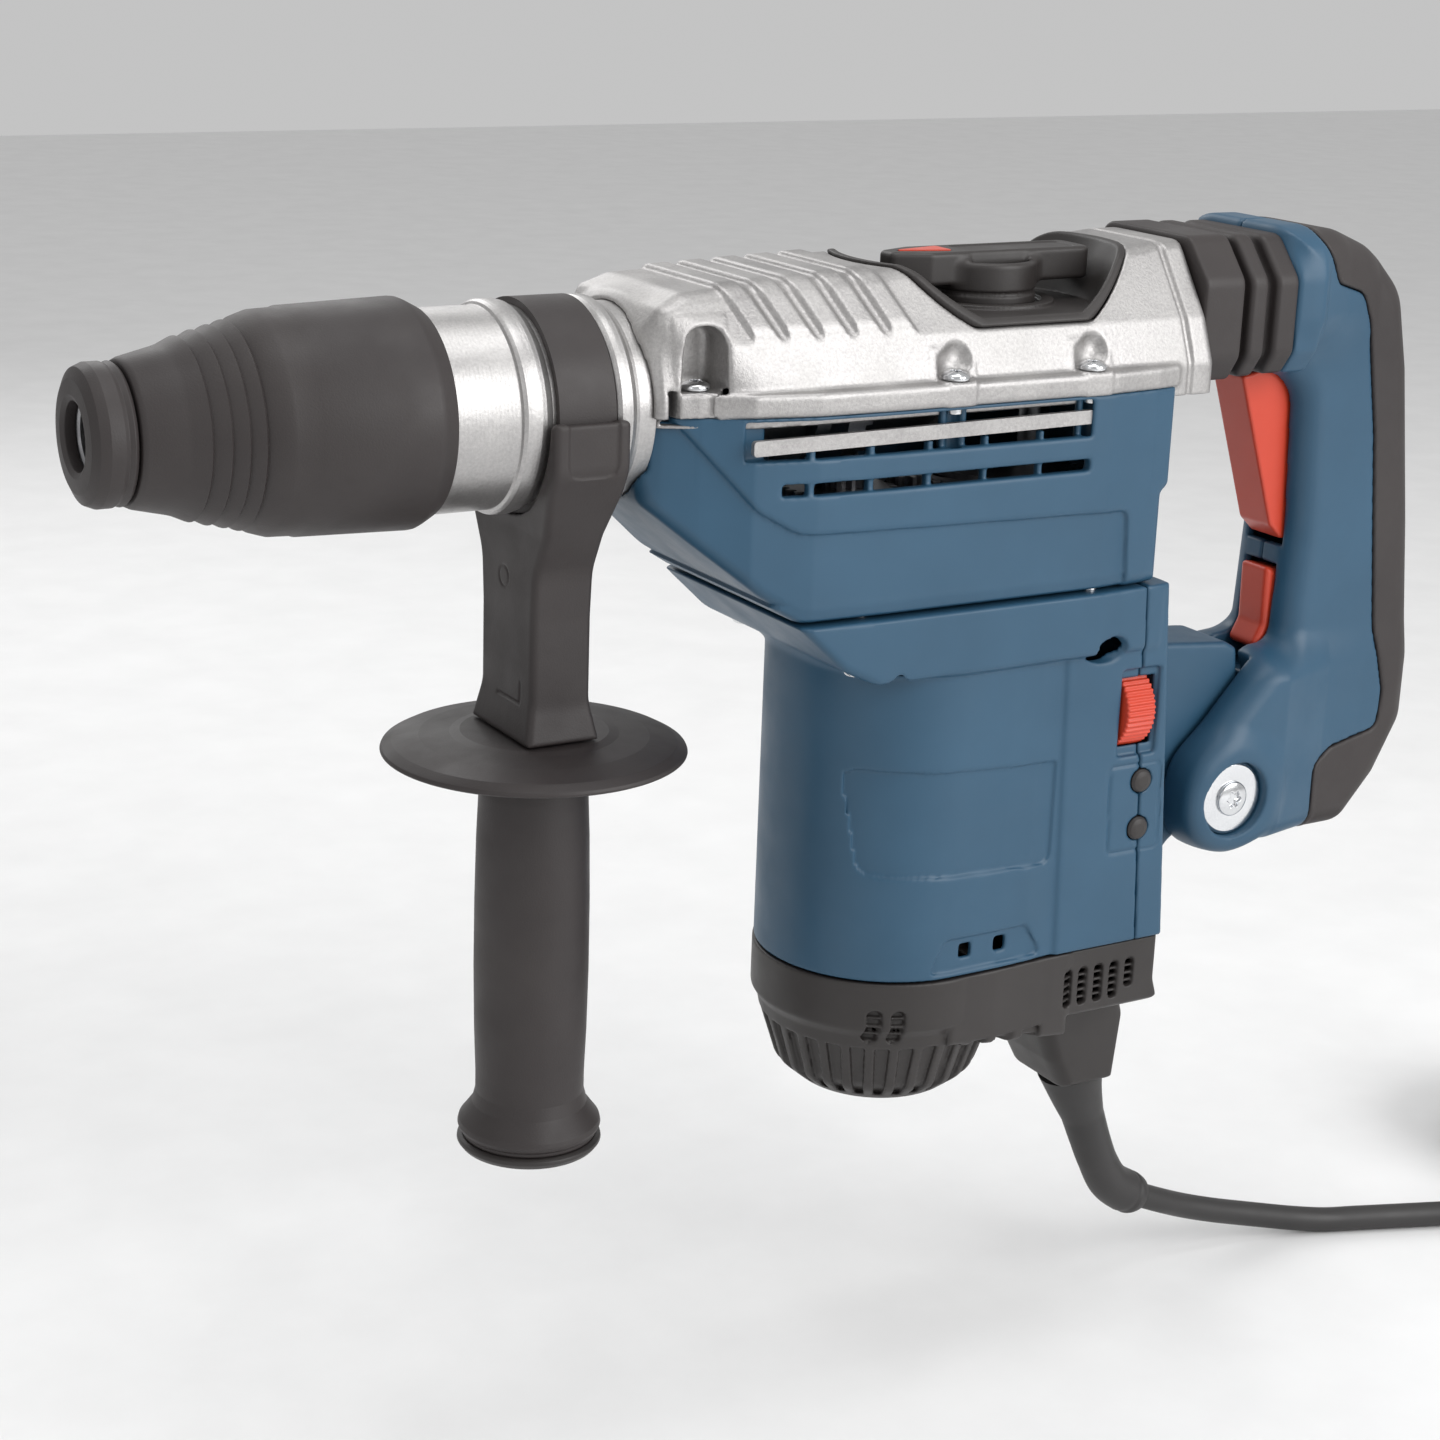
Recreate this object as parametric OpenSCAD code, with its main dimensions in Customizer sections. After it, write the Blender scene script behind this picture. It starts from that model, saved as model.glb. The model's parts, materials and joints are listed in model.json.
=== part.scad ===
// Rotary hammer: vertical motor, D-shaped rear handle, collar side handle and mains cord.
// Lengths x run back from the nose tip, heights z run up from the barrel axis, and y is across.
// at_grip() then moves every piece into the frame of the part: origin in the middle of the rear
// grip, -X towards the nose, +Z up.

/* [Barrel and chuck] */
// Radius of the bore that takes the 18 mm tool shank
tool_bore_r = 9.05; // [9.03:0.01:9.09]
// Depth of the tool bore behind the tool holder's front face
tool_bore_depth = 88; // [80:1:88]
// Radius of the black locking sleeve at its rear edge
sleeve_r = 32.3; // [31.5:0.1:33]
// Radius of the bright machined neck
neck_r = 28.7; // [28.4:0.1:28.9]
// Distance from the nose tip to the gear housing
neck_back = 158; // [156:1:160]

/* [Housings] */
// Half width of the gear housing flange
flange_half = 44; // [43:0.5:45]
// Height of the flange above the split line
flange_top = 6; // [5:0.5:7]
// Distance from the nose tip to the rear face of the gear housing
housing_back = 350; // [349:0.5:351]
// Thickness of the cast and moulded walls
wall = 3; // [2.5:0.5:3.5]
// Distance from the nose tip to the motor axis
motor_x = 262; // [262:0.5:262.5]
// Outer radius of the motor barrel
motor_r = 41; // [40:0.5:42]

/* [Drive] */
// Module of the spur gears
gear_module = 1.25; // [1.25:0.01:1.27]
// Teeth on the rotor pinion
rotor_teeth = 11; // [11:2:11]
// Teeth on the intermediate gear
middle_teeth = 28; // [28:2:28]
// Teeth on the crank gear
crank_teeth = 46; // [46:2:46]
// Radius of the crank pin's circle
crank_throw = 13; // [12:0.5:13]
// Inner radius of the hammer tube
tube_r = 16; // [15.5:0.1:16]

/* [Handles and cord] */
// Distance from the nose tip to the middle of the rear grip
grip_x = 438; // [430:1:446]
// Half width of the rear grip
grip_half = 17; // [16:0.5:18]
// Distance from the nose tip to the side handle's axis
side_x = 135.5; // [135:0.25:136]
// Radius of the side handle's guard disc
guard_r = 45.5; // [42:0.5:48]
// Radius of the side grip
side_grip_r = 16.8; // [16:0.2:17.4]
// Diameter of the mains cord
cord_d = 9; // [8:0.5:9]

/* [Hidden] */
$fn = 64;
grip_drop = 56;                      // the grip's middle lies this far below the barrel axis
split_z = -1;                        // the cast housing meets the moulded cover here
cover_floor = -63;                   // underside of the gear cover
motor_floor = -184;                  // underside of the motor housing
cap_floor = -230.5;                  // underside of the motor cap
collar_floor = -84;                  // underside of the collar round the motor barrel
part_x = 332;                        // the rear cover meets the motor housing here
box_half = 40;                       // half width of the electronics box
dial_x = 329;
dial_y = 10.5 - box_half;
dial_z = -105;
light_x = 333;
light_z = [-128.4, -144.5];
gap = 0.3;                           // space between pieces that move past each other
run = 0.05;                          // radial clearance of a running fit
knob_x = 287;                        // axis of the mode knob
dish_x = 284;                        // centre of the dish around the knob
dish_z = 21.5;                       // floor of the dish
pivot = [384, -146];                 // pivot of the rear handle, x and z
trigger_pin = [420, -9];             // pivot of the trigger, x and z
washer_r = 12.75;
web_half = 13;                       // half thickness of the pivot web
cheek_half = 26.5;                   // half width over the handle's two cheeks
rotor_r = gear_module * rotor_teeth / 2;
middle_x = motor_x - gear_module * (rotor_teeth + middle_teeth) / 2;
crank_x = motor_x + gear_module * (rotor_teeth + crank_teeth) / 2;
crown_teeth = 40;
bevel_teeth = 12;
bevel_module = 1.35;
bevel_r = bevel_module * bevel_teeth / 2;
crown_r = bevel_module * crown_teeth / 2;
wrist_x = crank_x + crank_throw - 45;
floor_z = -332.5;                    // the ground that the cord lies on
cord_z = floor_z + cord_d / 2;
coil_at = [604, -9];
coil_turns_r = [41, 50];
coil_layers = 4;
// Places of the flange screws: x, distance from the middle
flange_screws = [[171, 27], [251.5, 39.5], [301.5, 39.5]];
// Places of the seam screws under the motor housing's collar: x, distance from the middle
seam_screws = [[226, 33], [308.5, 36.5]];
cord_route = [
    [378, 0, -303], [390, 0, -308.5], [402, 0, -313.5], [414, -1, -317.5], [426, -2, -321],
    [438, -4, -324], [450, -7, -326.5], [462, -11, -328], [474, -15.5, -328], [486, -20, -328],
    [498, -24.5, -328], [510, -29, -328], [522, -33.5, -328], [534, -38, -328], [546, -42.5, -328],
    [558, -47, -328], [572, -52, -328], [586, -56, -328]
];
boot_route = [
    [345, 0, -247], [348, 0, -256], [352, 0, -266], [356, 0, -276], [360.5, 0, -286],
    [366, 0, -295], [373, 0, -300.5], [379, 0, -303.5]
];
boot_radii = [11.5, 9.5, 7.6, 7.2, 7, 7.4, 7.8, 6.6];
tail_route = [
    [586, -56, -301], [600.5, -58.5, -298.5], [615, -55, -294.5], [627, -46, -292],
    [635, -33.5, -290.5], [636, -11, -289.5]
];

// ---------- placing and shaping helpers ----------
module at_grip() { translate([-grip_x, 0, grip_drop]) children(); }
// A profile of [radius, x] points turned about the barrel axis
module turned_x(profile) { rotate([0, 90, 0]) rotate_extrude() polygon(profile); }
// A profile of [radius, z] points turned about the upright axis at x, y
module turned_z(profile, x, y = 0) { translate([x, y, 0]) rotate_extrude() polygon(profile); }
// An outline of [x, z] points, as thick as the span from y0 to y1
module side_slab(outline, y0, y1) {
    translate([0, y1, 0]) rotate([90, 0, 0]) linear_extrude(y1 - y0) polygon(outline);
}
// An outline of [y, z] points, from x0 to x1
module end_slab(outline, x0, x1) {
    translate([x0, 0, 0]) rotate([90, 0, 90]) linear_extrude(x1 - x0) polygon(outline);
}
// An outline of [x, y] points, from z0 to z1
module top_slab(outline, z0, z1) { translate([0, 0, z0]) linear_extrude(z1 - z0) polygon(outline); }
module upright(x, y, z0, z1, r) { translate([x, y, z0]) cylinder(h = z1 - z0, r = r); }
module across(x, z, y0, y1, r) {
    translate([x, y1, z]) rotate([90, 0, 0]) cylinder(h = y1 - y0, r = r);
}
module lengthwise(x0, x1, y, z, r) {
    translate([x0, y, z]) rotate([0, 90, 0]) cylinder(h = x1 - x0, r = r);
}
module ring_z(x, z0, z1, outer, inner, y = 0) {
    difference() {
        upright(x, y, z0, z1, outer);
        upright(x, y, z0 - 1, z1 + 1, inner);
    }
}
module both_sides() { children(); mirror([0, 1, 0]) children(); }

function unit(v) = v / norm(v);
// Points [x, y, r]: each corner is rounded to its radius r
function corner(a, b, c, r, steps = 5) = r == 0 ? [b] :
    let(u = unit(a - b), v = unit(c - b), half = acos(u * v) / 2, reach = r / tan(half),
        mid = b + unit(u + v) * r / sin(half), from = b + u * reach - mid, to = b + v * reach - mid)
    [for (i = [0:steps]) mid + r * unit(from * (steps - i) + to * i)];
function xy(p) = [p[0], p[1]];
function rounded(pts) = let(n = len(pts))
    [for (i = [0:n - 1])
        each corner(xy(pts[(i + n - 1) % n]), xy(pts[i]), xy(pts[(i + 1) % n]), pts[i][2])];
function box_outline(x0, x1, y0, y1, r) =
    rounded([[x0, y0, r], [x1, y0, r], [x1, y1, r], [x0, y1, r]]);
// A half outline of [y, z, r] points from the top middle to the bottom middle, and its mirror
function both_halves(half) = concat(half,
    [for (i = [len(half) - 1:-1:0]) [-half[i][0], half[i][1], half[i][2]]]);

// A tube along a route, with a radius at each point
function tangents(route) = let(n = len(route))
    [for (i = [0:n - 1]) unit(route[min(i + 1, n - 1)] - route[max(i - 1, 0)])];
function carried(t, normals) = len(normals) == len(t) ? normals :
    let(k = len(normals), n = normals[k - 1])
    carried(t, concat(normals, [unit(n - (n * t[k]) * t[k])]));
module swept(route, radii, sides) {
    t = tangents(route);
    n = carried(t, [unit(cross(t[0], [0.1, 1, 0.2]))]);
    count = len(route);
    points = [for (i = [0:count - 1]) let(b = cross(t[i], n[i]))
        for (k = [0:sides - 1])
            route[i] + radii[i] * (cos(360 * k / sides) * n[i] + sin(360 * k / sides) * b)];
    skin = [for (i = [0:count - 2], k = [0:sides - 1]) let(m = (k + 1) % sides)
        each [[i * sides + k, i * sides + m, (i + 1) * sides + m],
            [i * sides + k, (i + 1) * sides + m, (i + 1) * sides + k]]];
    first = [[for (k = [sides - 1:-1:0]) k]];
    last = [[for (k = [0:sides - 1]) (count - 1) * sides + k]];
    mirrored = concat(skin, first, last);
    polyhedron(points, [for (f = mirrored) [for (j = [len(f) - 1:-1:0]) f[j]]]);
}
// A coil spring along x
module spring_x(x0, x1, z, coil_r, wire_r, turns) {
    steps = 12 * turns;
    route = [for (i = [0:steps])
        [x0 + wire_r + (x1 - x0 - 2 * wire_r) * i / steps,
            coil_r * cos(30 * i), z + coil_r * sin(30 * i)]];
    swept(route, [for (p = route) wire_r], 8);
}
// Straight-sided teeth with room to run, for meshing spur gears
function gear_outline(teeth, modul, turn = 0) =
    let(r = teeth * modul / 2, tip = r + 0.75 * modul, root = r - 1.2 * modul, pitch = 360 / teeth)
    [for (i = [0:teeth - 1], c = [[root, -0.3], [tip, -0.13], [tip, 0.13], [root, 0.3]])
        c[0] * [cos(turn + (i + c[1]) * pitch), sin(turn + (i + c[1]) * pitch)]];
module ball_bearing(x, z0, z1, outer, inner) {
    middle = (outer + inner) / 2;
    track = (outer - inner) / 5;
    ring_z(x, z0, z1, outer, outer - track);
    ring_z(x, z0, z1, inner + track, inner);
    balls = floor(3.14 * middle / (track * 1.7));
    for (i = [0:balls - 1])
        translate([x, 0, (z0 + z1) / 2]) rotate([0, 0, 360 * i / balls])
            translate([middle, 0, 0]) sphere(r = track * 1.4, $fn = 24);
}

// ---------- chuck ----------
module nose_cap() {
    color([0.17, 0.16, 0.16]) turned_x([[9.4, 0.6], [11, 0], [15.5, 0.3], [18.4, 1.8], [19.3, 4.4],
        [19.3, 8], [18.8, 9.6], [19.3, 11.2], [17.5, 12], [13, 12], [13, 4], [9.4, 4]]);
}
module locking_sleeve() {
    front = 12.6;
    back = 97;
    hub_r = 15.5 + run;
    ridge = [for (p = [[24.7, 29.2], [26, 34.1], [27.1, 38.6], [28.3, 42.6]])
        each [p, [p[0] - 0.7, p[1] + 0.7]]];
    outer = concat([[19.2, front], [19.9, 13.4], [22.8, 24.3], [23.4, 26]], ridge,
        [[29.4, 46], [30.4, 50], [31.2, 66], [sleeve_r, 93], [sleeve_r - 0.8, 96.2],
            [sleeve_r - 2.3, back]]);
    inner = [[neck_r + 0.6, back], [neck_r + 0.6, 60], [26, 58], [hub_r, 58], [hub_r, 36],
        [21, 34], [19.5, 24], [hub_r, 22], [hub_r, front]];
    color([0.2, 0.19, 0.19]) turned_x(concat(outer, inner));
}
module tool_holder() {
    holder_back = 4 + tool_bore_depth;
    color("lightsteelblue") difference() {
        turned_x([[tool_bore_r, 5], [tool_bore_r + 1, 4], [13, 4], [13, 12.2], [15.5, 12.2],
            [15.5, 92], [22, 92], [22, 97], [19, 99], [19, 146], [12.1, 146],
            [12.1, holder_back + 2], [tool_bore_r, holder_back]]);
        both_sides() translate([38, 0, -3.1]) cube([19, 17, 6.2]);
    }
}
module locking_rollers() {
    color("silver") both_sides() lengthwise(39, 56, 12.25, 0, 3);
}
module sleeve_spring() { color("gray") spring_x(58.4, 91.6, 0, 19.3, 1.1, 5); }

// ---------- barrel ----------
module front_neck() {
    inner = 24.5;
    collar = 30.3;
    color("silver") turned_x([[inner, 93], [neck_r - 0.6, 93], [neck_r, 94], [neck_r, 116],
        [29.6, 116.6], [collar, 118], [collar, 122.4], [29.7, 124.6], [28.4, 125.4],
        [28.4, 144.6], [29.6, 145.4], [collar, 147], [collar, 149.6], [29.7, 151], [28.1, 152],
        [28.1, neck_back], [27.6, neck_back + 4], [inner, neck_back + 4]]);
}
module spindle_bearing() {
    color("gainsboro") for (x = [104, 150]) translate([x, 0, 0]) rotate([0, 90, 0])
        ball_bearing(0, 0, 10, 24.5, 19 + run);
}
module hammer_tube() {
    color("lightgray") turned_x([[tube_r, 146], [19, 146], [19, 260], [18, 262], [tube_r, 262]]);
}
module spindle_gear() {
    face_x = middle_x - bevel_r;
    root_x = face_x - 1.5;
    color("dimgray") {
        turned_x([[19, root_x - 12], [23, root_x - 12], [24, root_x - 8], [29.8, root_x - 6],
            [29.8, root_x], [19, root_x]]);
        for (i = [0:crown_teeth - 1]) rotate([(i + 0.5) * 360 / crown_teeth, 0, 0])
            translate([root_x - 0.5, -0.75, 24.5]) cube([face_x + 0.9 - root_x + 0.5, 1.5, 5]);
    }
}
module beat_piece() {
    body_r = 12.1 - run;
    color("slategray") turned_x([[0, 96], [7, 96], [8.8, 98], [8.8, 118], [body_r, 120],
        [body_r, 138], [9, 140], [9, 149], [8, 150], [0, 150]]);
}
module striker() {
    body_r = tube_r - run;
    color("darkgray") turned_x([[0, 170], [8, 170], [9, 171], [9, 178], [body_r, 179],
        [body_r, 184], [14.8, 184.5], [14.8, 187], [body_r, 187.5], [body_r, 202], [0, 202]]);
}
module piston() {
    body_r = tube_r - run;
    front = wrist_x - 18;
    back = wrist_x + 8;
    color("silver") difference() {
        turned_x([[0, front], [body_r, front], [body_r, front + 4], [14.8, front + 4.5],
            [14.8, front + 7], [body_r, front + 7.5], [body_r, back], [0, back]]);
        translate([wrist_x - 9, -8.2, -6]) cube([20, 16.4, 12]);
        upright(wrist_x, 0, -20, 20, 4);
    }
}
module wrist_pin() { color("gray") upright(wrist_x, 0, -14.5, 14.5, 4); }
module connecting_rod() {
    pin_x = crank_x + crank_throw;
    color("darkgray") difference() {
        union() {
            upright(wrist_x, 0, -5.5, 5.5, 7.2);
            upright(pin_x, 0, -5.5, 5.5, 9.5);
            translate([wrist_x, -4.5, -4]) cube([pin_x - wrist_x, 9, 8]);
        }
        upright(wrist_x, 0, -8, 8, 4 + run);
        upright(pin_x, 0, -8, 8, 5);
    }
}
module crank_pin() { color("gray") upright(crank_x + crank_throw, 0, -29.7, 7.5, 5); }

// ---------- gears under the barrel ----------
module crank_gear() {
    color("dimgray") {
        translate([crank_x, 0, -40]) linear_extrude(8) difference() {
            polygon(gear_outline(crank_teeth, gear_module, 180 / crank_teeth));
            for (i = [0:4]) rotate([0, 0, 72 * i + 36]) translate([19, 0]) circle(r = 5);
        }
        upright(crank_x, 0, -32, -30, 22);
        upright(crank_x, 0, -54, -39, 6);
    }
}
module intermediate_gear() {
    color("dimgray") {
        translate([middle_x, 0, -40]) linear_extrude(8)
            polygon(gear_outline(middle_teeth, gear_module));
        translate([middle_x, 0, -32.5]) linear_extrude(9)
            polygon(gear_outline(bevel_teeth, bevel_module));
        upright(middle_x, 0, -54, -39, 4);
    }
}
module gear_bearings() {
    color("gainsboro") {
        ball_bearing(crank_x, -54, -45, 15, 6 + run);
        ball_bearing(middle_x, -54, -45, 10.5, 4 + run);
    }
}

// ---------- gear housing and its fittings ----------
function plan(inset) = let(t = inset)
    both_halves([[152 + t, 0, 0], [152 + t, 22 - t, 0], [160 + t, 27.5 - t, 0],
        [170 + t, 33 - t, 0], [184 + t, 39.5 - t, 0], [204, flange_half - t - 0.8, 0],
        [230, flange_half - t, 0], [308, flange_half - t, 0], [326, flange_half - 2 - t, 0],
        [335 - t, 40.2 - t, 0], [338 - t, 36 - t, 0]]);
// plan() lists x first, so its mirror runs along x; this swaps it into [x, y] outlines
function plan_outline(inset) = let(half = [for (p = plan(inset)) p], n = len(half) / 2)
    concat([for (i = [0:n - 1]) [half[i][0], half[i][1]]],
        [for (i = [n - 1:-1:0]) [half[i][0], -half[i][1]]]);
function housing_section(t) = rounded(both_halves([[19 - t, 42 - t, 7], [33.5 - t, 19 - t / 2, 3],
    [39 - t, 5.5, 0], [39 - t, -8, 0]]));
function housing_profile(t) = [[156 + t, -8], [156 + t, 23 - t], [160 + t, 29.5 - t],
    [168 + t, 33 - t], [240, 36.5 - t], [330, 39.5 - t], [340, 41 - t],
    [housing_back - t, 41 - t], [housing_back - t, -8]];
module housing_shape(t) {
    intersection() {
        side_slab(housing_profile(t), -60, 60);
        end_slab(housing_section(t), 140, 360);
        top_slab([[153 + t, 21 - t], [160 + t, 27 - t], [170 + t, 32 - t], [186 + t, 37.5 - t],
            [205, 40 - t], [360, 40 - t], [360, t - 40], [205, t - 40], [186 + t, t - 37.5],
            [170 + t, t - 32], [160 + t, t - 27], [153 + t, t - 21]], split_z, 60);
    }
}
module dish_cone(shrink) {
    translate([dish_x, 0, 0]) rotate_extrude() polygon([[0, dish_z - 1.5 + shrink],
        [38.5 - shrink, dish_z - 1.5 + shrink], [48.5 - shrink, 42], [0, 42]]);
}
module gear_housing() {
    color([0.8, 0.79, 0.78]) difference() {
        union() {
            top_slab(plan_outline(0), split_z, flange_top);
            housing_shape(0);
            for (i = [0:4]) intersection() {
                side_slab([[176 + 14 * i, 30], [184 + 14 * i, 30], [184 + 14 * i, 39],
                    [176 + 14 * i, 39]], -24, 24);
                translate([0, 0, 1.5]) housing_shape(0);
            }
        }
        difference() {
            housing_shape(wall);
            for (s = flange_screws, side = [-1, 1]) upright(s[0], side * s[1], -2, 30, 7.5);
        }
        top_slab(box_outline(159.4, 334, -34, 34, 8), split_z - 1, 7);
        lengthwise(150, 170, 0, 0, 28.1);
        dish_cone(0);
        for (s = flange_screws, side = [-1, 1]) {
            upright(s[0], side * s[1], flange_top, 40, 5.2);
            upright(s[0], side * s[1], -10, 40, 2.5);
        }
    }
}
module knob_dish() {
    color([0.16, 0.15, 0.15]) difference() {
        intersection() { dish_cone(0); housing_shape(0); }
        dish_cone(1.5);
        upright(knob_x, 0, 0, 40, 5 + run);
    }
}
module mode_knob() {
    bar = rounded([[knob_x - 36, -3.5, 2], [knob_x - 24, -8.5, 4], [knob_x + 35.5, -8.5, 4],
        [knob_x + 35.5, 8.5, 4], [knob_x - 24, 8.5, 4], [knob_x - 36, 3.5, 2]]);
    color([0.18, 0.17, 0.17]) difference() {
        union() {
            upright(knob_x, 0, 17.3, 24, 5);
            upright(knob_x, 0, dish_z + gap, 36.5, 17);
            top_slab(bar, 29, 38.5);
        }
        top_slab(rounded([[knob_x - 33, 0, 0.5], [knob_x - 15, -4.5, 0.5],
            [knob_x - 15, 4.5, 0.5]]), 37.7, 40);
    }
}
module knob_pointer() {
    color("orangered") top_slab(rounded([[knob_x - 33, 0, 0.5], [knob_x - 15, -4.5, 0.5],
        [knob_x - 15, 4.5, 0.5]]), 37.7, 38.8);
}
module housing_screws() {
    color("gainsboro") for (s = flange_screws, side = [-1, 1])
        translate([s[0], side * s[1], 0]) difference() {
            shank = s[0] > 200 ? 4.8 : 14;
            union() {
                translate([0, 0, flange_top]) cylinder(h = 3, r = 4);
                translate([0, 0, -shank]) cylinder(h = shank + flange_top + 1, r = 2.5);
            }
            translate([0, 0, flange_top + 1]) cylinder(h = 5, r = 2, $fn = 6);
        }
}

// ---------- moulded covers ----------
module cover_profile(t) {
    side_slab([[153 + t, 5], [151.5 + t, -14], [156 + t, -28 + t / 2], [170, -40 + t],
        [188, -55 + t], [200, cover_floor + t], [333.5 - t, cover_floor + t],
        [333.5 - t, -34.5], [337.5 - t, -34 - t], [337.5 - t, 5]], -60, 60);
}
module gear_cover() {
    slot_x = [for (i = [0:5]) 184 + 20.3 * i];
    color([0.24, 0.38, 0.49]) difference() {
        union() {
            difference() {
                intersection() {
                    top_slab(plan_outline(0.6), -80, split_z);
                    cover_profile(0);
                }
                intersection() {
                    top_slab(plan_outline(0.6 + wall), -80, 10);
                    cover_profile(wall);
                }
                lengthwise(140, 162.3, 0, 0, 28.1);
                for (side = [-1, 1]) scale([1, side, 1]) for (x = slot_x) {
                    translate([x, 37, -14.5]) cube([18.6, 12, 11.5]);
                    if (x > 190) translate([x, 37, -24.5]) cube([18.6, 12, 3.8]);
                }
            }
            intersection() {
                top_slab(plan_outline(2), cover_floor, cover_floor + 8);
                cover_profile(1);
            }
            ring_z(crank_x, cover_floor + 1, -45, 17.5, 15.1);
            ring_z(middle_x, cover_floor + 1, -45, 13, 10.55);
            for (s = flange_screws) both_sides() intersection() {
                upright(s[0], s[1], -26, split_z, 4.6);
                top_slab(plan_outline(1), -80, 10);
            }
        }
        upright(motor_x, 0, -80, -40, 14.05);
        both_sides() translate([181.9, 40.5, -11.2]) cube([122.2, 10, 6]);
        for (s = flange_screws, side = [-1, 1]) upright(s[0], side * s[1], -22, 10, 2.5);
        for (s = seam_screws, side = [-1, 1]) upright(s[0], side * s[1], -70, -57.5, 2);
    }
}
module vent_bars() {
    bar = rounded([[182, -11, 1], [304, -9.6, 1], [304, -5.4, 1], [182, -6.6, 1]]);
    color("gainsboro") both_sides() side_slab(bar, 40.6, 42.3);
}
// The flat-sided box behind the motor barrel, leaning back towards its foot
module electronics_box(t) {
    intersection() {
        side_slab([[301, cover_floor], [338.5 - t, cover_floor], [347.5 - t, motor_floor],
            [301, motor_floor]], -60, 60);
        top_slab(box_outline(290, 347.5 - t, t - box_half, box_half - t, 5), motor_floor - 1,
            cover_floor + 1);
    }
}
module collar_shape(t) {
    intersection() {
        top_slab(plan_outline(0.6 + t), collar_floor, cover_floor);
        side_slab([[200 + t, cover_floor], [214 + t, collar_floor], [part_x, collar_floor],
            [part_x, cover_floor]], -60, 60);
    }
}
// The flank that carries the motor barrel's side straight on to the box
module motor_flank(t, z0, z1) {
    half = [[motor_x, motor_r - 0.1 - t], [280, 40.6 - t], [291, 40 - t], [300, 39 - t],
        [306, 38.6 - t]];
    top_slab(concat(half, [for (i = [4:-1:0]) [half[i][0], -half[i][1]]]), z0, z1);
}
module dial_recess() { lengthwise(dial_x - 6.3, dial_x + 6.3, dial_y, dial_z, 13.6); }
module light_holes() {
    for (z = light_z) across(light_x, z, -box_half - 5, 4 - box_half, 4 + run);
}
module motor_housing() {
    color([0.23, 0.37, 0.48]) difference() {
        union() {
            upright(motor_x, 0, motor_floor, cover_floor, motor_r);
            motor_flank(0, motor_floor, cover_floor);
            collar_shape(0);
            intersection() {
                electronics_box(0);
                translate([280, -50, -200]) cube([part_x - 280, 100, 200]);
            }
        }
        upright(motor_x, 0, motor_floor - 1, cover_floor - 4, motor_r - wall);
        motor_flank(wall, motor_floor - 1, cover_floor - 4);
        translate([304, 3.5 - box_half, motor_floor - 1])
            cube([60, 2 * box_half - 7, cover_floor - motor_floor - 3]);
        upright(motor_x, 0, -80, -40, 14.05);
        difference() {
            translate([0, 0, -4]) collar_shape(wall);
            for (s = seam_screws) both_sides() upright(s[0], s[1], -100, -60, 7);
        }
        dial_recess();
        light_holes();
        for (s = seam_screws) both_sides() {
            upright(s[0], s[1], -95, -80.5, 4.4);
            upright(s[0], s[1], -90, -60, 2.1);
        }
    }
}
module rear_cover() {
    lug_r = 16;
    web = rounded([[340, -88, 0], [350, -92, 8], [388, -95.5, 3], [392.5, -98, 2],
        [393.5, -106, 3], [pivot[0] + lug_r, -126, 6], [pivot[0] + lug_r, -162, 14],
        [pivot[0] - 12, -162, 8],
        [351, -181, 3], [343, -183, 0]]);
    color([0.23, 0.37, 0.48]) difference() {
        union() {
            difference() {
                intersection() {
                    electronics_box(0);
                    translate([part_x, -50, -200]) cube([50, 100, 200]);
                }
                intersection() {
                    electronics_box(wall);
                    translate([320, 3.5 - box_half, -200])
                        cube([60, 2 * box_half - 7, -200 - cover_floor + 396]);
                }
            }
            side_slab(web, -web_half, web_half);
            lengthwise(dial_x - 5, 342, dial_y, dial_z, 2.95);
        }
        difference() {
            dial_recess();
            lengthwise(dial_x - 5, 342, dial_y, dial_z, 2.95);
        }
        light_holes();
        across(pivot[0], pivot[1], -30, 30, 8);
    }
}
module seam_screws() {
    color("gainsboro") both_sides() for (s = seam_screws) {
        upright(s[0], s[1], -81, -58, 2);
        upright(s[0], s[1], -83.5, -80.5, 3.8);
    }
}
module speed_dial() {
    ridges = 40;
    color("orangered") translate([dial_x - 5.5, dial_y, dial_z]) rotate([0, 90, 0])
        difference() {
            cylinder(h = 11, r = 13.2);
            translate([0, 0, -1]) cylinder(h = 13, r = 3);
            for (i = [0:ridges - 1]) rotate([0, 0, 360 * i / ridges])
                translate([13.2, 0, -1]) cylinder(h = 13, r = 0.35, $fn = 4);
        }
}
module indicator_lights() {
    color([0.25, 0.22, 0.21]) for (z = light_z)
        across(light_x, z, -box_half - 1, 4 - box_half, 4);
}
module cap_bowl(t) {
    turned_z([[0, cap_floor + t], [24 - t, cap_floor + t], [30 - t, -228.5 + t],
        [36.5 - t, -212 + t / 2], [40 - t, -203 + t / 2], [motor_r + 0.4 - t, -200],
        [motor_r + 0.4 - t, motor_floor], [0, motor_floor]], motor_x);
}
module cap_box(t) {
    side_slab([[262, motor_floor], [262, -205 + t], [316, -208 + t], [324 + t, -238 + t],
        [335 + t, -247 + t], [354 - t, -247 + t], [356 - t, -222 + t], [349 - t, -208 + t],
        [349 - t, motor_floor]], t - box_half, box_half - t);
}
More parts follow.
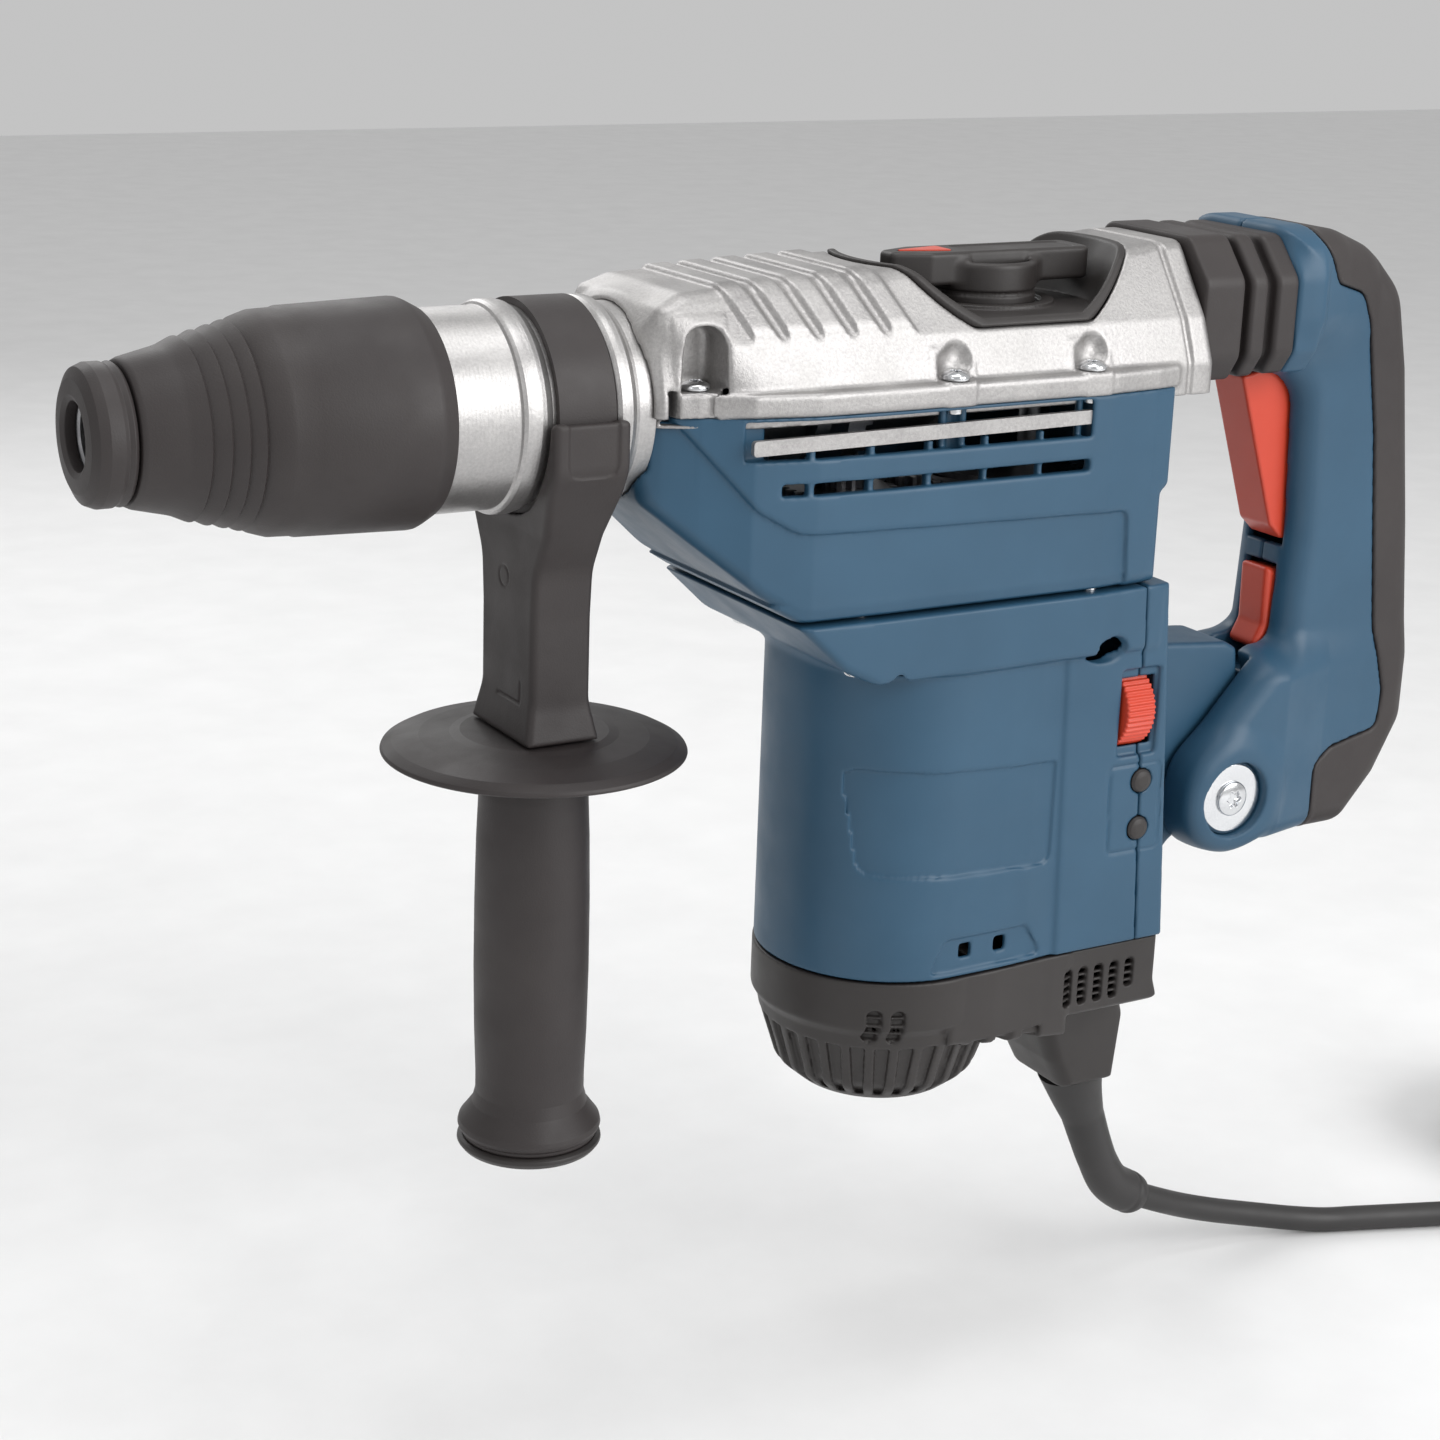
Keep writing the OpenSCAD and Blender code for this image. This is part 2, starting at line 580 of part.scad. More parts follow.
module motor_cap() {
    color([0.2, 0.19, 0.19]) difference() {
        union() {
            difference() {
                union() {
                    cap_bowl(0);
                    motor_flank(0, -205, motor_floor);
                    intersection() {
                        cap_box(0);
                        union() {
                            top_slab(box_outline(301, 349, -box_half, box_half, 5), -209, motor_floor);
                            upright(341, 0, -260, -200, 17);
                        }
                    }
                }
                translate([0, 0, 1]) cap_bowl(wall);
                motor_flank(wall, -202, motor_floor + 1);
                translate([0, 0, 1]) intersection() {
                    cap_box(wall);
                    union() {
                        top_slab(box_outline(304, 346, wall - box_half, box_half - wall, 4), -207, motor_floor);
                        upright(341, 0, -244, -200, 14);
                    }
                }
            }
            ring_z(motor_x, cap_floor + 1, -204, 14, 11.05);
        }
        for (x = [239, 245.5]) translate([x - 2, -60, -207]) cube([4, 40, 12]);
        for (i = [0:4]) translate([313 + 6.4 * i, -45, -204]) cube([3.4, 14, 10.5]);
        for (i = [0:11]) translate([motor_x, 0, 0]) rotate([0, 0, 30 * i])
            translate([20, -1.6, -240]) cube([30, 3.2, 18]);
        swept(boot_route, [for (r = boot_radii) r - 2], 24);
    }
}

// ---------- motor ----------
module rotor_shaft() {
    color("silver") {
        translate([motor_x, 0, -42]) linear_extrude(12)
            polygon(gear_outline(rotor_teeth, gear_module));
        upright(motor_x, 0, -70, -41, 5);
        upright(motor_x, 0, -166, -69, 5);
        upright(motor_x, 0, -216, -165, 4);
    }
}
module rotor_core() {
    color("dimgray") translate([motor_x, 0, -148]) linear_extrude(50) difference() {
        circle(r = 21.5);
        circle(r = 5);
        for (i = [0:11]) rotate([0, 0, 30 * i]) translate([18.5, 0]) circle(r = 1.8);
    }
}
module rotor_windings() {
    color("chocolate") {
        turned_z([[5, -98], [18, -98], [19, -94], [15, -88], [5, -87]], motor_x);
        turned_z([[5, -148], [18, -148], [19, -152], [15, -158], [5, -159]], motor_x);
    }
}
module commutator() {
    color("peru") translate([motor_x, 0, -186]) linear_extrude(20) difference() {
        circle(r = 12);
        circle(r = 4);
        for (i = [0:23]) rotate([0, 0, 15 * i]) translate([11.4, -0.25]) square([1, 0.5]);
    }
}
module cooling_fan() {
    color("dimgray") translate([motor_x, 0, 0]) {
        ring_z(0, -83, -81, 33, 5);
        ring_z(0, -83, -73, 9, 5);
        for (i = [0:11]) rotate([0, 0, 30 * i]) translate([8.5, -0.8, -82]) cube([24, 1.6, 9]);
    }
}
module stator() {
    color("gray") translate([motor_x, 0, -150]) {
        linear_extrude(54) difference() {
            circle(r = 36);
            circle(r = 22.5);
            both_sides() translate([-9, 24]) square([18, 8]);
        }
    }
    color("chocolate") both_sides()
        translate([motor_x - 8, 25, -158]) cube([16, 6, 70]);
}
module motor_bearings() {
    color("gainsboro") {
        ball_bearing(motor_x, -62, -54, 14, 5 + run);
        ball_bearing(motor_x, -214, -206, 11, 4 + run);
    }
}
module brush_holders() {
    color("goldenrod") both_sides() difference() {
        translate([motor_x - 5, 14, -181]) cube([10, 22, 10]);
        translate([motor_x - 3.2, 13, -179.2]) cube([6.4, 21, 6.4]);
    }
}
module carbon_brushes() {
    color([0.15, 0.15, 0.15]) both_sides()
        translate([motor_x - 3, 12.2, -179]) cube([6, 18, 6]);
}

// ---------- rear handle ----------
function collar_section(half, t) = rounded(both_halves([[half - 13 - t, 42 - t, 3],
    [half - t, 27, 3], [half - t, 3, 3], [half - 4 - t, -3 + t, 2]]));
module bellows() {
    color([0.15, 0.14, 0.14]) difference() {
        union() {
            end_slab(collar_section(32, 0), housing_back, 367);
            end_slab(collar_section(29.5, 2.5), 366, 389.5);
            end_slab(collar_section(31.5, 0.6), 369.5, 377);
            end_slab(collar_section(31, 1), 380, 389.5);
        }
        end_slab(collar_section(26, 5), housing_back - 1, 391);
    }
}
module damper_spring() { color("gray") spring_x(housing_back + 0.2, 393.8, 19, 8, 1.2, 5); }
shell_outline = rounded([[390, 42, 1], [401, 40, 4], [410, 27, 4], [417, 21.5, 3], [427, 20.5, 6],
    [432, 10, 10], [439, -27, 30], [443, -59, 30], [449, -98, 20], [455, -120, 8],
    [454, -132, 5], [432, -135.5, 6], [424, -141, 6], [425, -166, 2], [384, -165, 12],
    [366, -158, 12], [366, -134, 14], [388, -110, 10], [398, -99, 8], [409, -98, 6],
    [411, -60, 40], [408, -12, 12], [398, -4, 3], [390, -3, 0]]);
pad_outline = rounded([[390, 42, 1], [401, 40, 4], [410, 27, 4], [417, 21.5, 3], [427, 20.5, 6],
    [432, 10, 10], [439, -27, 30], [443, -59, 30], [449, -98, 20], [455, -120, 8],
    [454, -132, 5], [432, -135.5, 6], [424, -141, 6], [425, -166, 0], [444, -167, 8],
    [459, -151, 10], [470, -131, 12], [470, -108, 20], [464, -60, 30], [456, -6, 20],
    [450, 20, 14], [436, 34, 20], [414, 41.5, 20], [398, 43, 1]]);
core_outline = rounded([[425, 12, 4], [436, 12, 4], [443, -15, 20], [449, -50, 20],
    [456, -108, 10], [456, -126, 4], [440, -126, 4], [425, -60, 10]]);
cavity_outline = rounded([[414, 14, 4], [430, 14, 4], [437, -20, 20], [443, -60, 20],
    [449, -106, 6], [418, -106, 4], [414, -60, 10]]);
module handle_width(half) {
    side = [[388, 30], [400, 29.5], [416, 21], [432, grip_half], [480, grip_half]];
    low = [[360, cheek_half], [412, cheek_half], [428, grip_half + 2], [480, grip_half + 2]];
    top_slab(concat([[388, 0]], side, [[480, 0]]), -30, 60);
    top_slab([[388, 0], [388, grip_half], [480, grip_half], [480, 0]], -100, -20);
    top_slab(concat([[360, 0]], low, [[480, 0]]), -180, -96);
}
module handle_shell() {
    difference() {
        intersection() {
            union() {
                side_slab(shell_outline, 0, 40);
                side_slab(core_outline, 0, 12.5);
            }
            handle_width();
        }
        side_slab(cavity_outline, -1, grip_half - 3.5);
        translate([385, -1, -66]) cube([32, 9.3, 63.5]);
        translate([395, -1, -109.5]) cube([40, 8.3, 40]);
        end_slab([[-1, 5], [22, 5], [22, 30], [10, 36], [-1, 36]], 385, 396);
        translate([0, -1, 0]) side_slab(rounded([[355, -84, 0], [394, -90, 0],
            [398, -104, 2], [404, -122, 6], [404, -170, 0], [355, -185, 0]]), 0, web_half + 1 + gap);
        across(pivot[0], pivot[1], -40, 40, 8.1);
        across(pivot[0], pivot[1], 23.7, 40, washer_r + 0.3);
    }
    difference() {
        across(trigger_pin[0], trigger_pin[1], 9, grip_half - 3, 5);
        across(trigger_pin[0], trigger_pin[1], 8, 40, 2.5 + run);
    }
}
module handle_left() { color([0.24, 0.38, 0.49]) mirror([0, 1, 0]) handle_shell(); }
module handle_right() { color([0.24, 0.38, 0.49]) handle_shell(); }
module handle_pad() {
    color([0.2, 0.18, 0.18]) difference() {
        intersection() {
            side_slab(pad_outline, -40, 40);
            both_sides() handle_width();
        }
        side_slab(core_outline, -12.6, 12.6);
        intersection() { side_slab(shell_outline, -40, 40); both_sides() handle_width(); }
    }
}
module trigger() {
    outline = rounded([[388.5, -6.5, 1], [396, -5, 1], [424, -5, 1], [424, -12, 1],
        [419, -59, 2], [412, -63.5, 1], [406, -58, 2]]);
    color("orangered") {
        side_slab(outline, -8, 8);
        across(trigger_pin[0], trigger_pin[1], -11.5, 11.5, 2.5);
    }
}
module lock_button() {
    outline = rounded([[407.5, -73, 1], [419, -75, 1], [421, -98, 3], [417, -106, 2],
        [404, -100.5, 2], [408, -93, 3]]);
    color("orangered") side_slab(outline, -7, 7);
}
module switch_module() {
    color("black") {
        translate([427.5, -10, -62]) cube([7, 20, 46]);
        translate([425, -3, -38]) cube([3, 6, 8]);
    }
}
module pivot_sleeve() {
    color("silver") difference() {
        across(pivot[0], pivot[1], -23.7, 23.7, 8 - run);
        across(pivot[0], pivot[1], -30, 30, 3);
    }
}
module pivot_screws() {
    color("gainsboro") both_sides() translate([pivot[0], 0, pivot[1]]) rotate([-90, 0, 0])
        difference() {
            union() {
                translate([0, 0, 5]) cylinder(h = 19, r = 3);
                translate([0, 0, 23.7]) cylinder(h = 2.2, r = washer_r);
                translate([0, 0, 25]) cylinder(h = 1.6, r = 5);
            }
            translate([0, 0, 24.8]) cylinder(h = 3, r = 2.6, $fn = 6);
        }
}

// ---------- side handle ----------
module clamp_band() {
    inner = neck_r - 0.3 + run;
    color([0.13, 0.13, 0.13]) translate([side_x, 0, 0]) {
        difference() {
            rotate([0, 90, 0]) cylinder(h = 17.6, r = 30.5, center = true);
            rotate([0, 90, 0]) cylinder(h = 20, r = inner, center = true);
        }
        translate([-8.8, -4, -34.5]) cube([17.6, 8, 5]);
    }
}
module side_yoke() {
    face = rounded(both_halves([[34.3, 0.5, 2], [34.3, -14, 6], [18, -46, 10], [17, -60, 20],
        [17, -88, 10], [19.5, -97, 0]]));
    flank = rounded([[side_x - 12, 2, 1], [side_x + 12, 2, 1], [side_x + 12, -20, 3],
        [side_x + 8.5, -34, 8], [side_x + 8.5, -86, 8], [side_x + 11, -97, 0],
        [side_x - 11, -97, 0], [side_x - 8.5, -86, 8], [side_x - 8.5, -34, 8],
        [side_x - 12, -20, 3]]);
    color([0.2, 0.19, 0.19]) difference() {
        intersection() {
            end_slab(face, side_x - 20, side_x + 20);
            side_slab(flank, -40, 40);
        }
        lengthwise(side_x - 30, side_x + 30, 0, 0, 30.7);
        upright(side_x, 0, -100, -20, 4.1);
        translate([side_x - 9, -4.2, -36]) cube([18, 8.4, 10]);
    }
}
module clamp_bolt() {
    color("silver") {
        upright(side_x, 0, -150, -34.5, 4);
        upright(side_x, 0, -35.8, -34.5, 4);
    }
}
module guard_disc() {
    color([0.18, 0.17, 0.17]) turned_z([[4.1, -97], [22, -97], [24, -97.6], [guard_r - 6, -99.4],
        [guard_r - 0.5, -101.6], [guard_r, -102.8], [guard_r - 1, -103.4],
        [guard_r - 7, -101.6], [24, -100.2], [14.5, -101], [14.5, -103], [4.1, -103]], side_x);
}
module side_grip() {
    r = side_grip_r;
    color([0.2, 0.19, 0.19]) turned_z([[4.3, -103.2], [13.8, -103.2], [14.6, -104],
        [14.6, -108.5], [16, -111], [r - 0.6, -122], [r + 0.2, -150], [r + 0.4, -172],
        [r, -200], [r - 0.3, -212], [r + 1.6, -216], [21.2, -220.5], [22, -223.5],
        [20.8, -224.6], [20.8, -226.5], [0, -226.5], [0, -152], [4.3, -152]], side_x);
}
module grip_end_cap() {
    color([0.15, 0.14, 0.14]) turned_z([[0, -226.5], [21, -226.5], [22.2, -227.6],
        [21.6, -229.6], [17, -231], [0, -231]], side_x);
}

// ---------- mains cord ----------
module strain_relief() {
    color([0.15, 0.14, 0.14]) difference() {
        swept(boot_route, boot_radii, 24);
        translate([300, -50, -247.1]) cube([100, 100, 60]);
    }
}
module cord() {
    color([0.12, 0.12, 0.12]) {
        swept(cord_route, [for (p = cord_route) cord_d / 2], 10);
        swept(tail_route, [for (p = tail_route) cord_d / 2], 10);
    }
}
module cord_coil() {
    inner = coil_turns_r[0] - cord_d / 2;
    outer = coil_turns_r[1] + cord_d / 2;
    coil_top = floor_z + coil_layers * cord_d;
    color([0.12, 0.12, 0.12]) turned_z([[inner, floor_z], [outer, floor_z],
        [outer, coil_top], [inner, coil_top]], coil_at[0], coil_at[1]);
}
module plug() {
    body = rounded([[0, -5, 1], [8, -6, 2], [14, -12, 3], [32, -13, 4], [36, -11, 2],
        [36, 11, 2], [32, 13, 4], [14, 12, 3], [8, 6, 2], [0, 5, 1]]);
    color([0.14, 0.14, 0.14]) translate([636, -11, floor_z + coil_layers * cord_d])
        rotate([0, 0, 104]) {
            linear_extrude(14) polygon(body);
            for (y = [-6.4, 6.4]) translate([35, y - 0.75, 4]) cube([18, 1.5, 6.5]);
        }
}

at_grip() nose_cap();
at_grip() locking_sleeve();
at_grip() tool_holder();
at_grip() locking_rollers();
at_grip() sleeve_spring();
at_grip() front_neck();
at_grip() spindle_bearing();
at_grip() hammer_tube();
at_grip() spindle_gear();
at_grip() beat_piece();
at_grip() striker();
at_grip() piston();
at_grip() wrist_pin();
at_grip() connecting_rod();
at_grip() crank_pin();
at_grip() crank_gear();
at_grip() gear_bearings();
at_grip() intermediate_gear();
at_grip() gear_housing();
at_grip() knob_dish();
at_grip() mode_knob();
at_grip() knob_pointer();
at_grip() housing_screws();
at_grip() gear_cover();
at_grip() vent_bars();
at_grip() motor_housing();
at_grip() rear_cover();
at_grip() seam_screws();
at_grip() speed_dial();
at_grip() indicator_lights();
at_grip() motor_cap();
at_grip() rotor_shaft();
at_grip() rotor_core();
at_grip() rotor_windings();
at_grip() commutator();
at_grip() cooling_fan();
at_grip() stator();
at_grip() motor_bearings();
at_grip() brush_holders();
at_grip() carbon_brushes();
at_grip() bellows();
at_grip() damper_spring();
at_grip() handle_left();
at_grip() handle_right();
at_grip() handle_pad();
at_grip() trigger();
at_grip() lock_button();
at_grip() switch_module();
at_grip() pivot_sleeve();
at_grip() pivot_screws();
at_grip() clamp_band();
at_grip() side_yoke();
at_grip() clamp_bolt();
at_grip() guard_disc();
at_grip() side_grip();
at_grip() grip_end_cap();
at_grip() strain_relief();
at_grip() cord();
at_grip() cord_coil();
at_grip() plug();
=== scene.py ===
"""Rotary hammer: the visible pieces in detail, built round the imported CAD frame.

Lengths in this script are millimetres. x runs back from the nose tip, z up from the barrel axis
and y across the tool, as in the CAD source. place() turns them into the frame's metres.
"""

import math

import bpy
import numpy as np
import openvdb
from mathutils import Matrix, Vector
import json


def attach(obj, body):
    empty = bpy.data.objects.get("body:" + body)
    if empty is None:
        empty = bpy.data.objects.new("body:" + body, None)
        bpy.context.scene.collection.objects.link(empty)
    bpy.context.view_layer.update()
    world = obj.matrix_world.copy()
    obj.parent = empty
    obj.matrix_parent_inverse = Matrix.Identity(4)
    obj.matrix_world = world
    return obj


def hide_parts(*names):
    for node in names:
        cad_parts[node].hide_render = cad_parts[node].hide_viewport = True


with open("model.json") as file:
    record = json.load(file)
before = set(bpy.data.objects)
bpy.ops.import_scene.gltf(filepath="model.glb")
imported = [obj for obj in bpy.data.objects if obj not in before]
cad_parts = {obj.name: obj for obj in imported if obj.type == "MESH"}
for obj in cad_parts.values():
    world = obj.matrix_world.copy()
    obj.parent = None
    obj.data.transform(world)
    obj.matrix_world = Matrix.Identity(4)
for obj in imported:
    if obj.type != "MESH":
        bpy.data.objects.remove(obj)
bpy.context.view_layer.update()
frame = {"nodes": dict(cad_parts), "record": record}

GRIP_X = 438
GRIP_DROP = 56
SPLIT_Z = -1
FLANGE_TOP = 6
COVER_FLOOR = -63
COLLAR_FLOOR = -84
MOTOR_FLOOR = -184
CAP_FLOOR = -230.5
MOTOR_X = 262
MOTOR_R = 41
BOX_HALF = 40
PART_X = 332
WALL = 3
KNOB_X = 287
DISH_X = 284
DISH_Z = 21.5
PIVOT = (384, -146)
GRIP_HALF = 17
CHEEK_HALF = 26.5
SIDE_X = 135.5
CORD_R = 4.5
FLOOR_Z = -332.5
FLANGE_SCREWS = [(171, 27), (251.5, 39.5), (301.5, 39.5)]
SEAM_SCREWS = [(226, 33), (308.5, 36.5)]
SIDES = (-1, 1)
DIAL_Y = -29.5
DIAL_Z = -105
DIAL_R = 13
DIAL_TEETH = 44
CAP_SLATS = 30
SCREW_HOLE_R = 2.5
LIGHT_X = 333
LIGHT_Z = (-128.4, -144.5)


def place(x, y, z):
    """A point in millimetres from the nose tip and the barrel axis, in the frame's metres."""
    return Vector(((x - GRIP_X) / 1000, y / 1000, (z + GRIP_DROP) / 1000))


# ---------- outlines ----------
def rounded(points, steps=6):
    """An outline whose corners (u, v, radius) are rounded by arcs."""
    out = []
    for i, (u, v, r) in enumerate(points):
        here = Vector((u, v))
        before = Vector(points[i - 1][:2]) - here
        after = Vector(points[(i + 1) % len(points)][:2]) - here
        if r == 0:
            out.append((u, v))
            continue
        angle = before.angle(after)
        reach = min(r / math.tan(angle / 2), before.length * 0.49, after.length * 0.49)
        a = here + before.normalized() * reach
        b = here + after.normalized() * reach
        for k in range(steps + 1):
            t = k / steps
            p = a * (1 - t) ** 2 + here * 2 * t * (1 - t) + b * t * t
            out.append((p.x, p.y))
    return out


def mirrored(half):
    """A half outline of (v, w) points with v above 0, closed by its mirror image."""
    return list(half) + [(-v, *rest) for v, *rest in reversed(half)]


def mirrored_plan(half):
    """A half plan of (x, y) points, closed by its mirror image across the tool's middle."""
    return list(half) + [(x, -y, *rest) for x, y, *rest in reversed(half)]


def rectangle(u0, u1, v0, v1, r=0):
    return rounded([(u0, v0, r), (u1, v0, r), (u1, v1, r), (u0, v1, r)])


# ---------- solids as distance fields ----------
def outline_distance(outline, u, v):
    """Distance from the points (u, v) to a closed outline, negative inside it."""
    shape = np.broadcast(u, v).shape
    nearest = np.full(shape, 1e12)
    inside = np.zeros(shape, bool)
    for (au, av), (bu, bv) in zip(outline, outline[1:] + outline[:1]):
        eu, ev = bu - au, bv - av
        length2 = eu * eu + ev * ev
        if length2 < 1e-12:
            continue
        t = np.clip(((u - au) * eu + (v - av) * ev) / length2, 0, 1)
        nearest = np.minimum(nearest, (u - au - t * eu) ** 2 + (v - av - t * ev) ** 2)
        if ev:
            inside ^= ((av > v) != (bv > v)) & (u < eu * (v - av) / ev + au)
    return np.where(inside, -1.0, 1.0) * np.sqrt(nearest)


def meet(a, b, r=0.0):
    """Where both fields are inside, with the new edge rounded to radius r."""
    if r == 0:
        return np.maximum(a, b)
    return np.minimum(np.maximum(a + r, b + r), 0) + np.hypot(
        np.maximum(a + r, 0), np.maximum(b + r, 0)) - r


def join(a, b, r=0.0):
    """Both fields together, with the inner corner filled to radius r."""
    return -meet(-a, -b, r)


def cut(a, b, r=0.0):
    """The first field with the second taken out, with the new edge rounded to radius r."""
    return meet(a, -b, r)


class Grid:
    """A block of space in which distance fields are worked out, from its low to its high corner."""

    def __init__(self, low, high, step):
        self.low, self.step = low, step
        axes = [np.arange(lo, hi + step, step) for lo, hi in zip(low, high)]
        self.x = axes[0][:, None, None]
        self.y = axes[1][None, :, None]
        self.z = axes[2][None, None, :]

    def span(self, w, lo, hi):
        return np.abs(w - (lo + hi) / 2) - (hi - lo) / 2

    def side(self, outline, y0, y1, r=0.0):
        """An outline of (x, z) points, as thick as y0 to y1."""
        return meet(outline_distance(outline, self.x, self.z), self.span(self.y, y0, y1), r)

    def flank(self, outline, side, near, far, r=0.0):
        """An outline of (x, z) points on one side of the tool, near to far from its middle."""
        return self.side(outline, *sorted((side * near, side * far)), r)

    def end(self, outline, x0, x1, r=0.0):
        """An outline of (y, z) points, from x0 to x1."""
        return meet(outline_distance(outline, self.y, self.z), self.span(self.x, x0, x1), r)

    def top(self, outline, z0, z1, r=0.0):
        """An outline of (x, y) points, from z0 to z1."""
        return meet(outline_distance(outline, self.x, self.y), self.span(self.z, z0, z1), r)

    def upright(self, x, y, z0, z1, radius, r=0.0):
        return meet(np.hypot(self.x - x, self.y - y) - radius, self.span(self.z, z0, z1), r)

    def across(self, x, z, y0, y1, radius, r=0.0):
        return meet(np.hypot(self.x - x, self.z - z) - radius, self.span(self.y, y0, y1), r)

    def lengthwise(self, x0, x1, y, z, radius, r=0.0):
        return meet(np.hypot(self.y - y, self.z - z) - radius, self.span(self.x, x0, x1), r)

    def turned_z(self, profile, x):
        """A profile of (radius, z) points turned about the upright axis at x."""
        return outline_distance(profile, np.hypot(self.x - x, self.y), self.z)

    def turned_x(self, profile):
        """A profile of (radius, x) points turned about the barrel axis."""
        return outline_distance(profile, np.hypot(self.y, self.z), self.x)

    def capsule(self, a, b, radius):
        """A round-ended rod between two points."""
        a, b = np.array(a, float), np.array(b, float)
        d = b - a
        t = ((self.x - a[0]) * d[0] + (self.y - a[1]) * d[1] + (self.z - a[2]) * d[2]) / (d @ d)
        t = np.clip(t, 0, 1)
        return np.sqrt((self.x - a[0] - t * d[0]) ** 2 + (self.y - a[1] - t * d[1]) ** 2
                       + (self.z - a[2] - t * d[2]) ** 2) - radius

    def piece(self, name, field, paint, body, *stands_for):
        """The field's surface as a smooth mesh that rides on a body and stands for CAD nodes."""
        shape = (self.x.size, self.y.size, self.z.size)
        reach = 3 * self.step
        values = np.clip(np.broadcast_to(field, shape), -reach, reach).astype(np.float32)
        volume = openvdb.FloatGrid(reach)
        volume.copyFromArray(np.ascontiguousarray(values))
        points, triangles, quads = volume.convertToPolygons(0.0, 0.0)
        points = points.astype(float) * self.step + np.array(self.low)
        points = (points - np.array([GRIP_X, 0, -GRIP_DROP])) / 1000
        faces = [tuple(int(i) for i in f[::-1]) for f in quads]
        faces += [tuple(int(i) for i in f[::-1]) for f in triangles]
        mesh = bpy.data.meshes.new(name)
        mesh.from_pydata(points.tolist(), [], faces)
        mesh.shade_smooth()
        return finished(name, mesh, paint, body, *stands_for)


def linked(name, data):
    """A new object in the scene."""
    thing = bpy.data.objects.new(name, data)
    bpy.context.scene.collection.objects.link(thing)
    return thing


def finished(name, mesh, paint, body, *stands_for):
    """A mesh as a painted object that rides on a body and stands for CAD nodes."""
    piece = linked(name, mesh)
    mesh.materials.append(PAINTS[paint])
    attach(piece, body)
    if stands_for:
        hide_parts(*stands_for)
    return piece


def lathe(name, profile, axis, centre, paint, body, *stands_for, segments=128):
    """A closed profile of (radius, height) points turned about an axis through centre."""
    rings = []
    points = []
    for r, h in profile:
        start = len(points)
        count = 1 if r < 1e-6 else segments
        for k in range(count):
            a = 2 * math.pi * k / segments
            u, v = r * math.cos(a), r * math.sin(a)
            p = {"x": (h, u, v), "y": (v, h, u), "z": (u, v, h)}[axis]
            points.append(place(centre[0] + p[0], centre[1] + p[1], centre[2] + p[2]))
        rings.append((start, count))
    faces = []
    for (a, na), (b, nb) in zip(rings, rings[1:] + rings[:1]):
        for k in range(segments):
            n = (k + 1) % segments
            ring = [a + k % na, a + n % na, b + n % nb, b + k % nb]
            ring = list(dict.fromkeys(ring))
            if len(ring) > 2:
                faces.append(ring)
    mesh = bpy.data.meshes.new(name)
    mesh.from_pydata([tuple(p) for p in points], [], faces)
    mesh.validate()
    mesh.update()
    volume = sum(p.area * p.normal.dot(p.center - Vector(place(*centre))) for p in mesh.polygons)
    if volume < 0:
        mesh.flip_normals()
    mesh.shade_smooth()
    mesh.set_sharp_from_angle(angle=math.radians(38))
    return finished(name, mesh, paint, body, *stands_for)


def softened(profile, r):
    """A lathe profile with its corners off the axis rounded to about r."""
    return rounded([(u, v, 0 if u < 1e-6 else r) for u, v in profile], 3)


# ---------- materials ----------
# Noise is spread between these two values
NOISE_LOW, NOISE_HIGH = 0.3, 0.7


def new_paint(name):
    material = bpy.data.materials.new(name)
    material.use_nodes = True
    nodes, links = material.node_tree.nodes, material.node_tree.links
    shader = nodes["Principled BSDF"]
    where = nodes.new("ShaderNodeTexCoord").outputs["Object"]
    return material, nodes, links, shader, where


def noise(nodes, links, where, scale, detail=3.0, rough=0.55):
    node = nodes.new("ShaderNodeTexNoise")
    node.inputs["Scale"].default_value = scale
    node.inputs["Detail"].default_value = detail
    node.inputs["Roughness"].default_value = rough
    links.new(where, node.inputs["Vector"])
    return node.outputs["Fac"]


def spread(nodes, links, value, low, high):
    node = nodes.new("ShaderNodeMapRange")
    node.inputs["From Min"].default_value = NOISE_LOW
    node.inputs["From Max"].default_value = NOISE_HIGH
    node.inputs["To Min"].default_value = low
    node.inputs["To Max"].default_value = high
    links.new(value, node.inputs["Value"])
    return node.outputs["Result"]


def tint(nodes, links, value, dark, light):
    ramp = nodes.new("ShaderNodeValToRGB")
    ramp.color_ramp.elements[0].position = NOISE_LOW
    ramp.color_ramp.elements[0].color = (*dark, 1)
    ramp.color_ramp.elements[1].position = NOISE_HIGH
    ramp.color_ramp.elements[1].color = (*light, 1)
    links.new(value, ramp.inputs["Fac"])
    return ramp.outputs["Color"]


def bumps(nodes, links, heights, shader):
    """Adds bump nodes one after the other; heights are (value, strength, distance in metres)."""
    normal = None
    for value, strength, distance in heights:
        bump = nodes.new("ShaderNodeBump")
        bump.inputs["Strength"].default_value = strength
        bump.inputs["Distance"].default_value = distance
        links.new(value, bump.inputs["Height"])
        if normal:
            links.new(normal, bump.inputs["Normal"])
        normal = bump.outputs["Normal"]
    links.new(normal, shader.inputs["Normal"])


def moulded(name, dark, light, rough, grain=2600, grain_depth=0.00006, depth=0.35):
    """A moulded plastic or rubber: fine grain, slow colour drift and uneven gloss."""
    material, nodes, links, shader, where = new_paint(name)
    cloud = noise(nodes, links, where, 22, 4)
    grit = noise(nodes, links, where, grain, 2)
    links.new(tint(nodes, links, cloud, dark, light), shader.inputs["Base Color"])
    links.new(spread(nodes, links, noise(nodes, links, where, 60, 5), *rough),
              shader.inputs["Roughness"])
    bumps(nodes, links, [(grit, depth, grain_depth), (cloud, 0.1, 0.0004)], shader)
    return material


